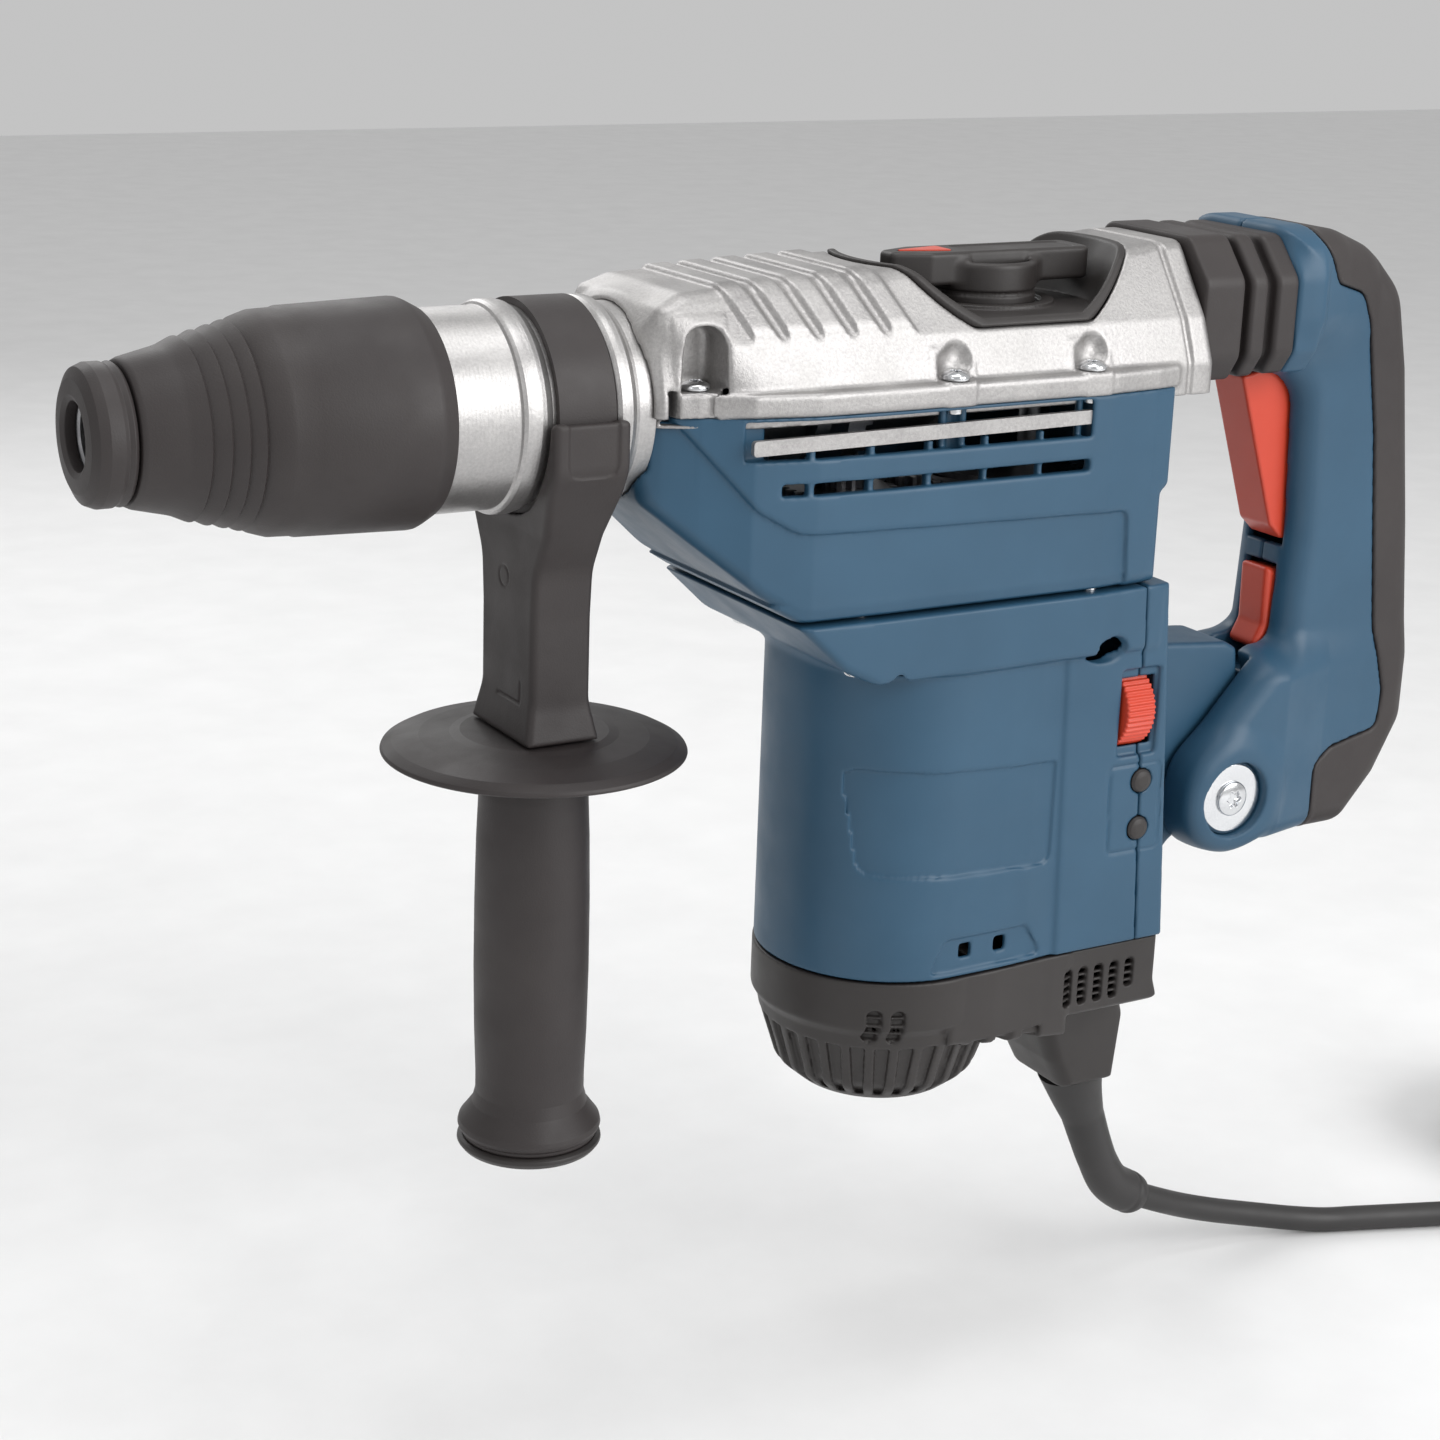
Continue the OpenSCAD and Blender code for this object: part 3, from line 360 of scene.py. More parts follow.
def metal(name, dark, light, rough, grain=1500, grain_depth=0.0001, depth=0.3, metallic=1.0,
          turned=None):
    """A metal: bright or cast, with grain, and rings where it was turned about an axis."""
    material, nodes, links, shader, where = new_paint(name)
    grit = noise(nodes, links, where, grain, 3, 0.7)
    cloud = noise(nodes, links, where, 45, 4)
    mixed = nodes.new("ShaderNodeMath")
    mixed.operation = "MULTIPLY_ADD"
    mixed.inputs[1].default_value = 0.55
    links.new(grit, mixed.inputs[0])
    scaled = nodes.new("ShaderNodeMath")
    scaled.operation = "MULTIPLY"
    scaled.inputs[1].default_value = 0.45
    links.new(cloud, scaled.inputs[0])
    links.new(scaled.outputs[0], mixed.inputs[2])
    links.new(tint(nodes, links, mixed.outputs[0], dark, light), shader.inputs["Base Color"])
    links.new(spread(nodes, links, cloud, *rough), shader.inputs["Roughness"])
    shader.inputs["Metallic"].default_value = metallic
    heights = [(grit, depth, grain_depth)]
    if turned:
        rings = nodes.new("ShaderNodeTexWave")
        rings.wave_type = "BANDS"
        rings.bands_direction = turned
        rings.inputs["Scale"].default_value = 260
        rings.inputs["Distortion"].default_value = 1.5
        rings.inputs["Detail"].default_value = 3
        links.new(where, rings.inputs["Vector"])
        heights.append((rings.outputs["Fac"], 0.12, 0.00008))
    bumps(nodes, links, heights, shader)
    return material


PAINTS = {
    "housing_blue": moulded("housing_blue", (0.019, 0.070, 0.126), (0.025, 0.084, 0.148),
                            (0.38, 0.52), depth=0.3),
    "soft_black": moulded("soft_black", (0.024, 0.019, 0.019), (0.034, 0.028, 0.027),
                          (0.48, 0.62), grain=1700, grain_depth=0.00012, depth=0.4),
    "black_plastic": moulded("black_plastic", (0.020, 0.017, 0.016), (0.029, 0.025, 0.024),
                             (0.40, 0.55), grain=2200),
    "orange_plastic": moulded("orange_plastic", (0.56, 0.050, 0.022), (0.64, 0.063, 0.028),
                              (0.30, 0.42)),
    "cord_rubber": moulded("cord_rubber", (0.024, 0.023, 0.023), (0.034, 0.032, 0.032),
                           (0.42, 0.58), grain=3000),
    "fan_plastic": moulded("fan_plastic", (0.02, 0.02, 0.022), (0.03, 0.03, 0.033), (0.4, 0.6)),
    "carbon": moulded("carbon", (0.010, 0.010, 0.011), (0.018, 0.018, 0.019), (0.6, 0.8)),
    "cast_alloy": metal("cast_alloy", (0.31, 0.30, 0.30), (0.50, 0.49, 0.48), (0.38, 0.54),
                        grain=1100, grain_depth=0.00022, depth=0.5, metallic=0.9),
    "machined_alloy": metal("machined_alloy", (0.36, 0.35, 0.35), (0.54, 0.53, 0.52),
                            (0.30, 0.46), grain=1100, grain_depth=0.00016, depth=0.4,
                            metallic=0.92, turned="X"),
    "bright_steel": metal("bright_steel", (0.52, 0.53, 0.54), (0.66, 0.67, 0.68), (0.18, 0.32)),
    "hard_steel": metal("hard_steel", (0.26, 0.26, 0.27), (0.36, 0.36, 0.37), (0.25, 0.42)),
    "spring_steel": metal("spring_steel", (0.24, 0.24, 0.25), (0.34, 0.34, 0.35), (0.25, 0.4)),
    "zinc_steel": metal("zinc_steel", (0.62, 0.63, 0.65), (0.82, 0.83, 0.84), (0.14, 0.28),
                        depth=0.12),
    "copper": metal("copper", (0.52, 0.19, 0.07), (0.66, 0.28, 0.12), (0.25, 0.4)),
    "lamination": metal("lamination", (0.09, 0.09, 0.10), (0.15, 0.15, 0.16), (0.45, 0.65)),
}


def paint_cad_nodes():
    """Every CAD node gets its slot's material."""
    for row in frame["record"]["subparts"]:
        node = frame["nodes"][row["node"]]
        node.data.materials.clear()
        node.data.materials.append(PAINTS[row["material_slot"]])


# ---------- camera ----------
def add_camera():
    camera = linked("camera", bpy.data.cameras.new("camera"))
    bpy.context.scene.camera = camera
    camera.data.sensor_width = 36
    camera.data.lens = 69.2
    camera.data.clip_start = 0.01
    target = place(198.9, 0, -102.39)
    distance = 0.84763
    azimuth, elevation, roll = (math.radians(a) for a in (-30.68, 17.23, 1.99))
    back = Vector((math.sin(azimuth) * math.cos(elevation),
                   -math.cos(azimuth) * math.cos(elevation), math.sin(elevation)))
    right = Vector((0, 0, 1)).cross(back).normalized()
    up = back.cross(right)
    turned_right = right * math.cos(roll) + up * math.sin(roll)
    turned_up = up * math.cos(roll) - right * math.sin(roll)
    camera.matrix_world = Matrix((
        (turned_right.x, turned_up.x, back.x, 0), (turned_right.y, turned_up.y, back.y, 0),
        (turned_right.z, turned_up.z, back.z, 0), (0, 0, 0, 1)))
    camera.location = target + back * distance


# ---------- cord ----------
CORD_ROUTE = [
    (378, 0, -303), (390, 0, -308.5), (402, 0, -313.5), (414, -1, -317.5), (426, -2, -321),
    (438, -4, -324), (450, -7, -326.5), (462, -11, -328), (474, -15.5, -328), (486, -20, -328),
    (498, -24.5, -328), (510, -29, -328), (522, -33.5, -328), (534, -38, -328), (546, -42.5, -328),
    (558, -47, -328), (572, -52, -328), (586, -56, -328)]
BOOT_ROUTE = [
    (345, 0, -247), (348, 0, -256), (352, 0, -266), (356, 0, -276), (360.5, 0, -286),
    (366, 0, -295), (373, 0, -300.5), (379, 0, -303.5)]
BOOT_RADII = [11.5, 9.5, 7.6, 7.2, 7, 7.4, 7.8, 6.6]
TAIL_ROUTE = [
    (586, -56, -301), (600.5, -58.5, -298.5), (615, -55, -294.5), (627, -46, -292),
    (635, -33.5, -290.5), (636, -11, -289.5)]
COIL_AT = (604, -9)
COIL_TURNS_R = (41, 50)
COIL_LAYERS = 4


def smooth_route(points, per_span=6):
    """A Catmull-Rom curve through the points."""
    p = [np.array(q, float) for q in points]
    p = [2 * p[0] - p[1], *p, 2 * p[-1] - p[-2]]
    out = []
    for a, b, c, d in zip(p, p[1:], p[2:], p[3:]):
        for k in range(per_span):
            t = k / per_span
            out.append(0.5 * (2 * b + (c - a) * t + (2 * a - 5 * b + 4 * c - d) * t * t
                              + (3 * b - a - 3 * c + d) * t ** 3))
    out.append(p[-2])
    return out


def sweep(name, route, radii, paint, body, *stands_for, sides, ridge):
    """A round rod along a route, its radius changing along it, with a ridge along its side."""
    route = [np.array(p, float) for p in route]
    count = len(route)
    heads = [route[min(i + 1, count - 1)] - route[max(i - 1, 0)] for i in range(count)]
    heads = [h / np.linalg.norm(h) for h in heads]
    across = np.array([0.0, 1.0, 0.0])
    points, faces = [], []
    for i, (p, head, r) in enumerate(zip(route, heads, radii)):
        across = across - head * (across @ head)
        across /= np.linalg.norm(across)
        other = np.cross(head, across)
        for k in range(sides):
            a = 2 * math.pi * k / sides
            reach = r + ridge(a)
            q = p + (across * math.cos(a) + other * math.sin(a)) * reach
            points.append(tuple(place(*q)))
        if i:
            for k in range(sides):
                n = (k + 1) % sides
                here, back = i * sides, (i - 1) * sides
                faces.append((back + k, back + n, here + n, here + k))
    faces.append(tuple(range(sides))[::-1])
    faces.append(tuple((count - 1) * sides + k for k in range(sides)))
    mesh = bpy.data.meshes.new(name)
    mesh.from_pydata(points, [], faces)
    mesh.validate()
    mesh.shade_smooth()
    mesh.set_sharp_from_angle(angle=math.radians(50))
    return finished(name, mesh, paint, body, *stands_for)


def cord_points():
    """The cord from the boot to the plug: the loose stretch, the coil's turns and the tail."""
    route = smooth_route(CORD_ROUTE)
    start = math.atan2(CORD_ROUTE[-1][1] - COIL_AT[1], CORD_ROUTE[-1][0] - COIL_AT[0])
    inner, outer = COIL_TURNS_R
    order = []
    for layer in range(COIL_LAYERS):
        pair = [(outer, layer), (inner, layer)]
        order += pair if layer % 2 == 0 else pair[::-1]
    steps = 48
    low = FLOOR_Z + CORD_R
    turns = []
    for i, (r, layer) in enumerate(order):
        r1, layer1 = order[min(i + 1, len(order) - 1)]
        for k in range(steps):
            t = k / steps
            ease = max(0.0, (t - 0.75) / 0.25)
            ease = ease * ease * (3 - 2 * ease)
            radius = r + (r1 - r) * ease
            z = low + 2 * CORD_R * (layer + (layer1 - layer) * ease)
            a = start + 2 * math.pi * (i + t)
            turns.append((COIL_AT[0] + radius * math.cos(a), COIL_AT[1] + radius * math.sin(a), z))
    return route, turns, smooth_route(TAIL_ROUTE)


# ---------- the cast gear housing ----------
def plan_outline(inset=0.0):
    """The plan of the flange, the gear cover and the collar, as (x, y) points."""
    t = inset
    half = [(152 + t, 22 - t), (160 + t, 27.5 - t), (170 + t, 33 - t), (184 + t, 39.5 - t),
            (204, 43.2 - t), (230, 44 - t), (308, 44 - t), (326, 42 - t), (335 - t, 40.2 - t),
            (338 - t, 36 - t)]
    return mirrored_plan(half)


def housing_field(g, t=0.0, r=3.0):
    """The body of the cast housing, inset by t."""
    profile = rounded([(156 + t, -12, 0), (156 + t, 23 - t, 4), (160 + t, 29.5 - t, 4),
                       (168 + t, 33 - t, 8), (240, 36.5 - t, 60), (330, 39.5 - t, 20),
                       (340, 41 - t, 8), (350 - t, 41 - t, 0), (350 - t, -12, 0)])
    section = rounded(mirrored([(17.5 - t, 42 - t, 9), (33.5 - t, 19 - t / 2, 4),
                                (39 - t, 5.5, 0), (39 - t, -12, 0)]))
    plan = rounded(mirrored_plan(
        [(153 + t, 21 - t, 0), (160 + t, 27 - t, 5), (170 + t, 32 - t, 8), (186 + t, 37.5 - t, 10),
         (205, 40 - t, 20), (360, 40 - t, 0)]))
    body = meet(g.side(profile, -60, 60), g.end(section, 140, 370), r)
    return meet(body, g.top(plan, -14, 60), r)


def dish_field(g, shrink=0.0):
    return g.turned_z([(0, DISH_Z - 1.5 + shrink), (38.5 - shrink, DISH_Z - 1.5 + shrink),
                       (50 - shrink, 46), (0, 46)], DISH_X)


def neck_socket(g):
    """Where the neck tube sits in the housing and the gear cover."""
    return g.lengthwise(140, 158.6, 0, 0, 28.2)


def make_gear_housing():
    g = Grid((146, -48, -4), (354, 48, 46), 0.65)
    outer = housing_field(g)
    cowl = g.turned_x(rounded([(0, 157, 0), (29.3, 157, 1), (31, 159, 2), (31.5, 170, 4),
                               (29, 182, 2), (0, 182, 0)]))
    outer = join(outer, meet(cowl, SPLIT_Z - g.z), 3)
    flange = g.top(plan_outline(), SPLIT_Z, FLANGE_TOP, 1.6)
    field = join(outer, flange, 1.5)
    ribs = None
    for i in range(5):
        x = 175 + 11.6 * i
        band = g.side([(x, 44), (x + 8.2, 44), (x + 21, 17.5), (x + 12.8, 17.5)], -33, 33)
        ribs = band if ribs is None else np.minimum(ribs, band)
    raised = meet(meet(outer - 1.5, ribs, 1.2), 17.6 - g.z, 0.8)
    field = join(field, raised, 0.9)
    rear_groove = meet(g.span(g.x, 339.4, 341.4), -(outer + 1.1), 0.4)
    field = cut(field, rear_groove, 0.6)
    # room inside for the gears
    field = cut(field, meet(housing_field(g, WALL, 2), 44 - g.z))
    field = cut(field, g.top(rectangle(160, 334, -34, 34, 8), SPLIT_Z - 2, 7))
    for x, y in FLANGE_SCREWS:
        depth = 27 if x < 200 else 15
        width = 6.6 if x < 200 else 5.4
        for side in SIDES:
            post = meet(g.upright(x, side * y, SPLIT_Z, depth, 8), meet(outer, -g.z + SPLIT_Z))
            field = join(field, post, 1)
            if x > 200:
                boss = g.upright(x, side * y, SPLIT_Z, FLANGE_TOP + 0.9, 6.2, 0.6)
                field = join(field, meet(boss, g.top(plan_outline(0), -2, 9)), 0.8)
            if x < 200:
                niche = rounded([(x - 6.4, FLANGE_TOP + 0.3, 0), (x + 6.4, FLANGE_TOP + 0.3, 0),
                                 (x + 7.2, 24.5, 6), (x - 4.6, 24.5, 6)])
                field = cut(field, g.flank(niche, side, 20.5, 60, 2.5), 1.2)
            else:
                pocket = g.capsule((x, side * y, FLANGE_TOP + width + 0.2),
                                   (x + 2.5, side * (y - 1), depth - 2), width)
                seat = g.upright(x, side * y, FLANGE_TOP + 0.4, FLANGE_TOP + width + 2, width)
                field = cut(field, np.minimum(pocket, seat), 1.0)
            field = cut(field, g.upright(x, side * y, -10, FLANGE_TOP + 2, SCREW_HOLE_R))
    field = cut(field, neck_socket(g), 0.5)
    field = cut(field, dish_field(g, -0.3), 1.0)
    g.piece("gear_housing_shell", field, "cast_alloy", "tool", "gear_housing")


def make_knob_dish():
    g = Grid((228, -42, 16), (342, 42, 44), 0.5)
    outer = housing_field(g)
    liner = meet(dish_field(g, 0), outer - 0.7, 0.6)
    liner = cut(liner, dish_field(g, 2.4), 0.8)
    liner = cut(liner, g.upright(KNOB_X, 0, 0, 40, 5.1))
    track = meet(g.upright(KNOB_X, 0, DISH_Z - 1, DISH_Z + 2.2, 22.5),
                 -g.upright(KNOB_X, 0, 0, 60, 18.6))
    liner = join(liner, meet(track, outer), 0.6)
    g.piece("knob_dish_liner", liner, "black_plastic", "tool", "knob_dish")


def make_mode_knob():
    g = Grid((KNOB_X - 39, -19, 16), (KNOB_X + 38, 19, 40), 0.4)
    bar = rounded(mirrored_plan([(KNOB_X - 36, -3.5, 2), (KNOB_X - 24, -8.3, 5),
                                 (KNOB_X + 35.5, -8.3, 4)]))
    field = g.upright(KNOB_X, 0, DISH_Z + 0.3, 35.5, 16.6, 1.5)
    field = join(field, g.top(bar, 28.5, 38.5, 1.4), 2.5)
    hollow = meet(g.upright(KNOB_X, 0, 24.5, 60, 14.2), -g.top(bar, 0, 60), 2)
    field = cut(field, meet(hollow, 31 - g.z), 1)
    field = join(field, g.upright(KNOB_X, 0, 17.3, 24, 5))
    waist = meet(g.upright(KNOB_X, 0, 25.6, 26.8, 30), -g.upright(KNOB_X, 0, 20, 30, 16))
    field = cut(field, waist, 0.4)
    tip = rounded([(KNOB_X - 33, 0, 0.5), (KNOB_X - 15, -4.5, 0.5), (KNOB_X - 15, 4.5, 0.5)])
    field = cut(field, g.top(tip, 37.6, 42))
    label = rectangle(KNOB_X - 10, KNOB_X + 31, -5.6, 5.6, 2)
    field = cut(field, g.top(label, 38.1, 42), 0.3)
    g.piece("mode_knob_grip", field, "black_plastic", "knob", "mode_knob")


# ---------- the moulded covers ----------
def make_gear_cover():
    g = Grid((146, -47, -67), (342, 47, 1), 0.7)
    profile = rounded([(153, 8, 0), (151.5, -14, 8), (156, -28, 10), (170, -40, 10), (188, -55, 14),
                       (201, -63, 10), (333.5, -63, 2), (333.5, -34.5, 1), (337.5, -34, 1),
                       (337.5, 8, 0)])
    plan = plan_outline(0.6)
    outer = meet(g.top(plan, -80, 20), g.side(profile, -60, 60), 5)
    outer_cavity = outer + WALL + 1
    outer = meet(outer, g.z - SPLIT_Z, 0.4)
    # the flanks draw in below the stepped line
    upper = rounded([(140, 6, 0), (160, 2, 2), (168, -7, 8), (186, -28, 12), (199, -35.4, 14),
                     (317, -38, 3), (318.5, -63, 0), (345, -70, 0), (345, 6, 0)])
    field = np.minimum(meet(outer, g.side(upper, -60, 60), 1.2), outer + 1.6)
    field = cut(field, outer_cavity)
    field = cut(field, neck_socket(g), 0.5)
    floor = meet(g.top(plan_outline(2.5), COVER_FLOOR, COVER_FLOOR + 6), outer + 0.5)
    field = join(field, floor, 0.5)
    for side in SIDES:
        slots = np.minimum(g.flank(rectangle(182, 300.5, -13.4, -2, 1), side, 36, 50),
                           g.flank(rectangle(193, 300.5, -24, -20.2, 1.2), side, 36, 50))
        field = cut(field, slots, 0.5)
        for i in range(5):
            x = 202 + 20.2 * i
            rail = g.flank(rectangle(x - 0.9, x + 0.9, -26, -10.6), side, 38.6, 41.6)
            field = join(field, rail, 0.3)
    field = cut(field, g.upright(MOTOR_X, 0, -80, -40, 14))
    for x, y in FLANGE_SCREWS:
        for side in SIDES:
            post = meet(g.upright(x, side * y, -16, SPLIT_Z, 4.6),
                        g.top(plan_outline(4.2), -80, 10))
            field = cut(join(field, post, 0.4), g.upright(x, side * y, -20, 10, SCREW_HOLE_R))
    g.piece("gear_cover_shell", field, "housing_blue", "tool", "gear_cover")


def box_field(g, t):
    """The flat-sided box behind the motor barrel, leaning back towards its foot."""
    lean = rounded([(299 + t, COVER_FLOOR, 0), (338.5 - t, COVER_FLOOR, 0),
                    (347.5 - t, MOTOR_FLOOR - 4, 0), (303 + t, MOTOR_FLOOR - 4, 0)])
    return meet(g.side(lean, -60, 60), g.span(g.y, t - BOX_HALF, BOX_HALF - t), 1.6)


def barrel_field(g, t=0.0):
    """The motor barrel with its flat flank, the collar round its top and the box behind it."""
    barrel = g.upright(MOTOR_X, 0, -300, COVER_FLOOR + 4, MOTOR_R - t)
    plan = [(MOTOR_X, MOTOR_R - t), (280, 40.7 - t), (291, 40.1 - t), (300, 39 - t),
            (306, 38.6 - t)]
    flank = g.top(mirrored_plan(plan), -300, COVER_FLOOR + 4)
    field = join(np.minimum(barrel, flank), box_field(g, t), 0.8)
    collar = g.top(plan_outline(0.6 + t), COLLAR_FLOOR, COVER_FLOOR + 4)
    chin = rounded([(199 + t, COVER_FLOOR + 6, 0), (200 + t, COVER_FLOOR, 2), (216 + t, -78, 20),
                    (228 + t, COLLAR_FLOOR, 4), (338.5 - t, COLLAR_FLOOR, 0),
                    (338.5 - t, COVER_FLOOR + 6, 0)])
    collar = meet(collar, g.side(chin, -60, 60), 2.5)
    return join(field, meet(collar, g.x - 338.5 + t), 3)


def label_panel(g):
    """Where the blank sunk panel lies on the barrel's left side."""
    outline = rounded([(228.5, -114, 5), (299, -117.5, 1), (299, -151.5, 4), (233, -148.5, 5)])
    return g.side(outline, -60, -8)


def side_panels(g, solid, field):
    """The grooves, windows and recesses that the motor housing and the rear cover share."""
    for side in SIDES:
        strip = g.flank(rounded([(254, -182, 2), (259, -171, 3), (291, -171, 3),
                                 (298, -182, 2)]), side, 10, 60)
        field = cut(field, np.maximum(strip, -(solid + 1.2)), 0.4)
        for x in (265.5, 279):
            field = cut(field, g.flank(rectangle(x, x + 4.6, -178, -173.4, 0.6), side, 10, 60))
    recess = g.side(rectangle(322.4, 337.6, -119.4, -90.6, 1.6), -60, 5 - BOX_HALF)
    field = cut(field, np.maximum(recess, -(solid + 1.6)), 0.8)
    field = cut(field, g.lengthwise(322.6, 336.4, DIAL_Y, DIAL_Z, DIAL_R + 1))
    border = g.side(rounded([(320, -122.5, 2), (340, -122.5, 2), (341.5, -152, 2),
                             (321.5, -152, 2)]), -60, 0)
    groove = meet(np.abs(border) - 0.35, np.maximum(g.y + 30, -(solid + 0.6)))
    field = cut(field, groove, 0.2)
    for z in LIGHT_Z:
        field = cut(field, g.across(LIGHT_X, z, -60, 4 - BOX_HALF, 4.1))
    for x, y in SEAM_SCREWS:
        for side in SIDES:
            scoop = g.capsule((x, side * y, -81.5), (x + 9, side * (y + 6), -83), 4.6)
            field = cut(field, scoop, 0.6)
    field = cut(field, meet(barrel_field(g, WALL + 0.2), g.z + 66))
    return cut(field, g.upright(MOTOR_X, 0, -90, -50, 14.1))


def parting(g):
    """Distance behind the line where the rear cover meets the motor housing."""
    return g.x - (PART_X - 3) + (g.z + 75) * 7 / 109


def make_motor_housing():
    g = Grid((196, -47, -187), (350, 47, -60), 0.75)
    solid = barrel_field(g)
    field = cut(solid, np.maximum(label_panel(g), -(solid + 1.1)), 0.4)
    field = side_panels(g, solid, field)
    field = meet(field, g.span(g.z, MOTOR_FLOOR + 0.3, COVER_FLOOR - 0.4), 0.6)
    front = meet(field, parting(g) + 0.2, 0.4)
    g.piece("motor_housing_shell", front, "housing_blue", "tool", "motor_housing")


def make_rear_cover():
    g = Grid((316, -47, -187), (404, 47, -60), 0.7)
    solid = barrel_field(g)
    field = side_panels(g, solid, solid)
    field = meet(field, g.span(g.z, MOTOR_FLOOR + 0.3, COVER_FLOOR - 0.4), 0.6)
    field = meet(field, 0.2 - parting(g), 0.4)
    web = rounded([(336, -88, 0), (350, -92, 10), (388, -95.5, 3), (392.5, -98, 2),
                   (393.5, -106, 4), (PIVOT[0] + 14, -124, 8), (PIVOT[0] + 15, -134, 6),
                   (PIVOT[0] + 15, -161, 14), (PIVOT[0] - 12, -161, 10),
                   (352, -183, 3), (336, -183, 0)])
    solid_web = g.side(web, -12.8, 12.8, 2)
    scooped = rounded([(346, -100, 3), (357, -104, 3), (362, -125, 6), (362, -150, 6),
                       (351, -172, 3), (346, -172, 3)])
    hollow = np.minimum(g.side(scooped, 3, 20, 1.5), g.side(scooped, -20, -3, 1.5))
    solid_web = cut(solid_web, hollow, 1)
    field = join(field, meet(solid_web, PART_X + 4 - g.x), 3)
    field = cut(field, g.across(PIVOT[0], PIVOT[1], -30, 30, 8))
    g.piece("rear_cover_shell", field, "housing_blue", "tool", "rear_cover")


def make_speed_dial():
    g = Grid((322, -44, -119), (336, -15, -91), 0.3)
    angle = np.arctan2(g.z - DIAL_Z, g.y - DIAL_Y)
    rim = DIAL_R + 0.35 * np.cos(DIAL_TEETH * angle)
    field = meet(np.hypot(g.y - DIAL_Y, g.z - DIAL_Z) - rim, g.span(g.x, 323.6, 334.6), 0.7)
    field = cut(field, g.lengthwise(320, 340, DIAL_Y, DIAL_Z, 3.1))
    g.piece("speed_dial_wheel", field, "orange_plastic", "dial", "speed_dial")


def make_indicator_lights():
    dome = softened([(0, 0), (3.9, 0), (3.9, 4.2), (3.2, 5.0), (1.8, 5.4), (0, 5.5)], 0.4)
    for i, z in enumerate(LIGHT_Z):
        lens = [(r, -h) for r, h in dome]
        stands_for = ["indicator_lights"] if i == 0 else []
        lathe(f"indicator_light_{i + 1}", lens, "y", (LIGHT_X, 4.2 - BOX_HALF, z),
              "black_plastic", "tool", *stands_for, segments=48)


def make_motor_cap():
    g = Grid((216, -45, -250), (360, 45, -181), 0.6)

    def bowl(t):
        return g.turned_z(rounded([(0, CAP_FLOOR + t, 0), (25 - t, CAP_FLOOR + t, 4),
                                   (33 - t, -224 + t, 8), (38.6 - t, -207 + t / 2, 3),
                                   (39.4 - t, -203, 1), (41.4 - t, -200, 2),
                                   (41.4 - t, MOTOR_FLOOR + 2, 0), (0, MOTOR_FLOOR + 2, 0)]),
                          MOTOR_X)

    def foot(t):
        side = rounded([(301 + t, -180, 0), (301 + t, -207 + t, 3), (316 + t, -211 + t, 6),
                        (325 + t, -236 + t, 8), (331 + t, -247 + t, 2), (352 - t, -247 + t, 3),
                        (354.5 - t, -222 + t, 8), (347.7 - t, -200 + t, 6), (347.7 - t, -180, 0)])
        plate = g.span(g.y, t - BOX_HALF, BOX_HALF - t)
        slope = BOX_HALF - t - 2.1 * np.maximum(-206 - g.z, 0)
        narrow = np.maximum(17 - t, slope)
        taper = (np.abs(g.y) - narrow) * 0.55
        return meet(meet(g.side(side, -60, 60), plate, 3), taper, 4)

    def band(t):
        edge = rounded([(MOTOR_X, -180, 0), (MOTOR_X, -208 + t, 0), (312, -214 + t, 0),
                        (312, -180, 0)])
        plan = [(MOTOR_X, MOTOR_R - t), (280, 40.7 - t), (300, 39.4 - t), (312, 39 - t)]
        return meet(g.side(edge, -60, 60), g.top(mirrored_plan(plan), -260, -170), 3)

    def whole(t):
        return join(np.minimum(bowl(t), band(t)), foot(t), 1.5)

    solid = whole(0)
    field = cut(solid, meet(whole(WALL), -250 - g.z))
    for side in SIDES:
        for x in (239, 245.5):
            slot = g.flank(rectangle(x - 2, x + 2, -205, -193.5, 2), side, 20, 60)
            bars = np.abs((g.z + 193) % 2.9 - 1.45) - 1.0
            field = cut(field, np.maximum(meet(slot, -(solid + 2.2)), bars), 0.3)
            field = cut(field, meet(slot, -(solid + 0.9)), 0.3)
        for i in range(5):
            x = 310.5 + 6.3 * i
            low = -203.5 if i < 4 else -200.5
            slot = g.flank(rectangle(x - 1.7, x + 1.7, low, -190.5, 1.7), side, 20, 60)
            bars = np.abs((g.z + 191) % 2.6 - 1.3) - 0.8
            field = cut(field, np.maximum(slot, bars), 0.3)
            field = cut(field, meet(slot, -(solid + 1.0)), 0.3)
    angle = np.arctan2(g.y, g.x - MOTOR_X)
    radius = np.hypot(g.x - MOTOR_X, g.y)
    turn = np.abs((angle / (2 * math.pi) * CAP_SLATS) % 1 - 0.5)
    wave = turn * 2 * math.pi * radius / CAP_SLATS - 1.0
    slats = np.maximum(np.maximum(-wave + 0.6, g.span(g.z, -227.5, -207.5)), 24.5 - radius)
    behind = np.maximum(np.maximum(slats, -(solid + 1.6)), g.x - 300)
    field = cut(field, behind, 0.3)
    field = cut(field, g.upright(345, 0, -260, -240, 9.5))
    field = meet(field, g.span(g.z, -300, MOTOR_FLOOR - 0.3), 0.5)
    g.piece("motor_cap_shell", field, "black_plastic", "tool", "motor_cap")


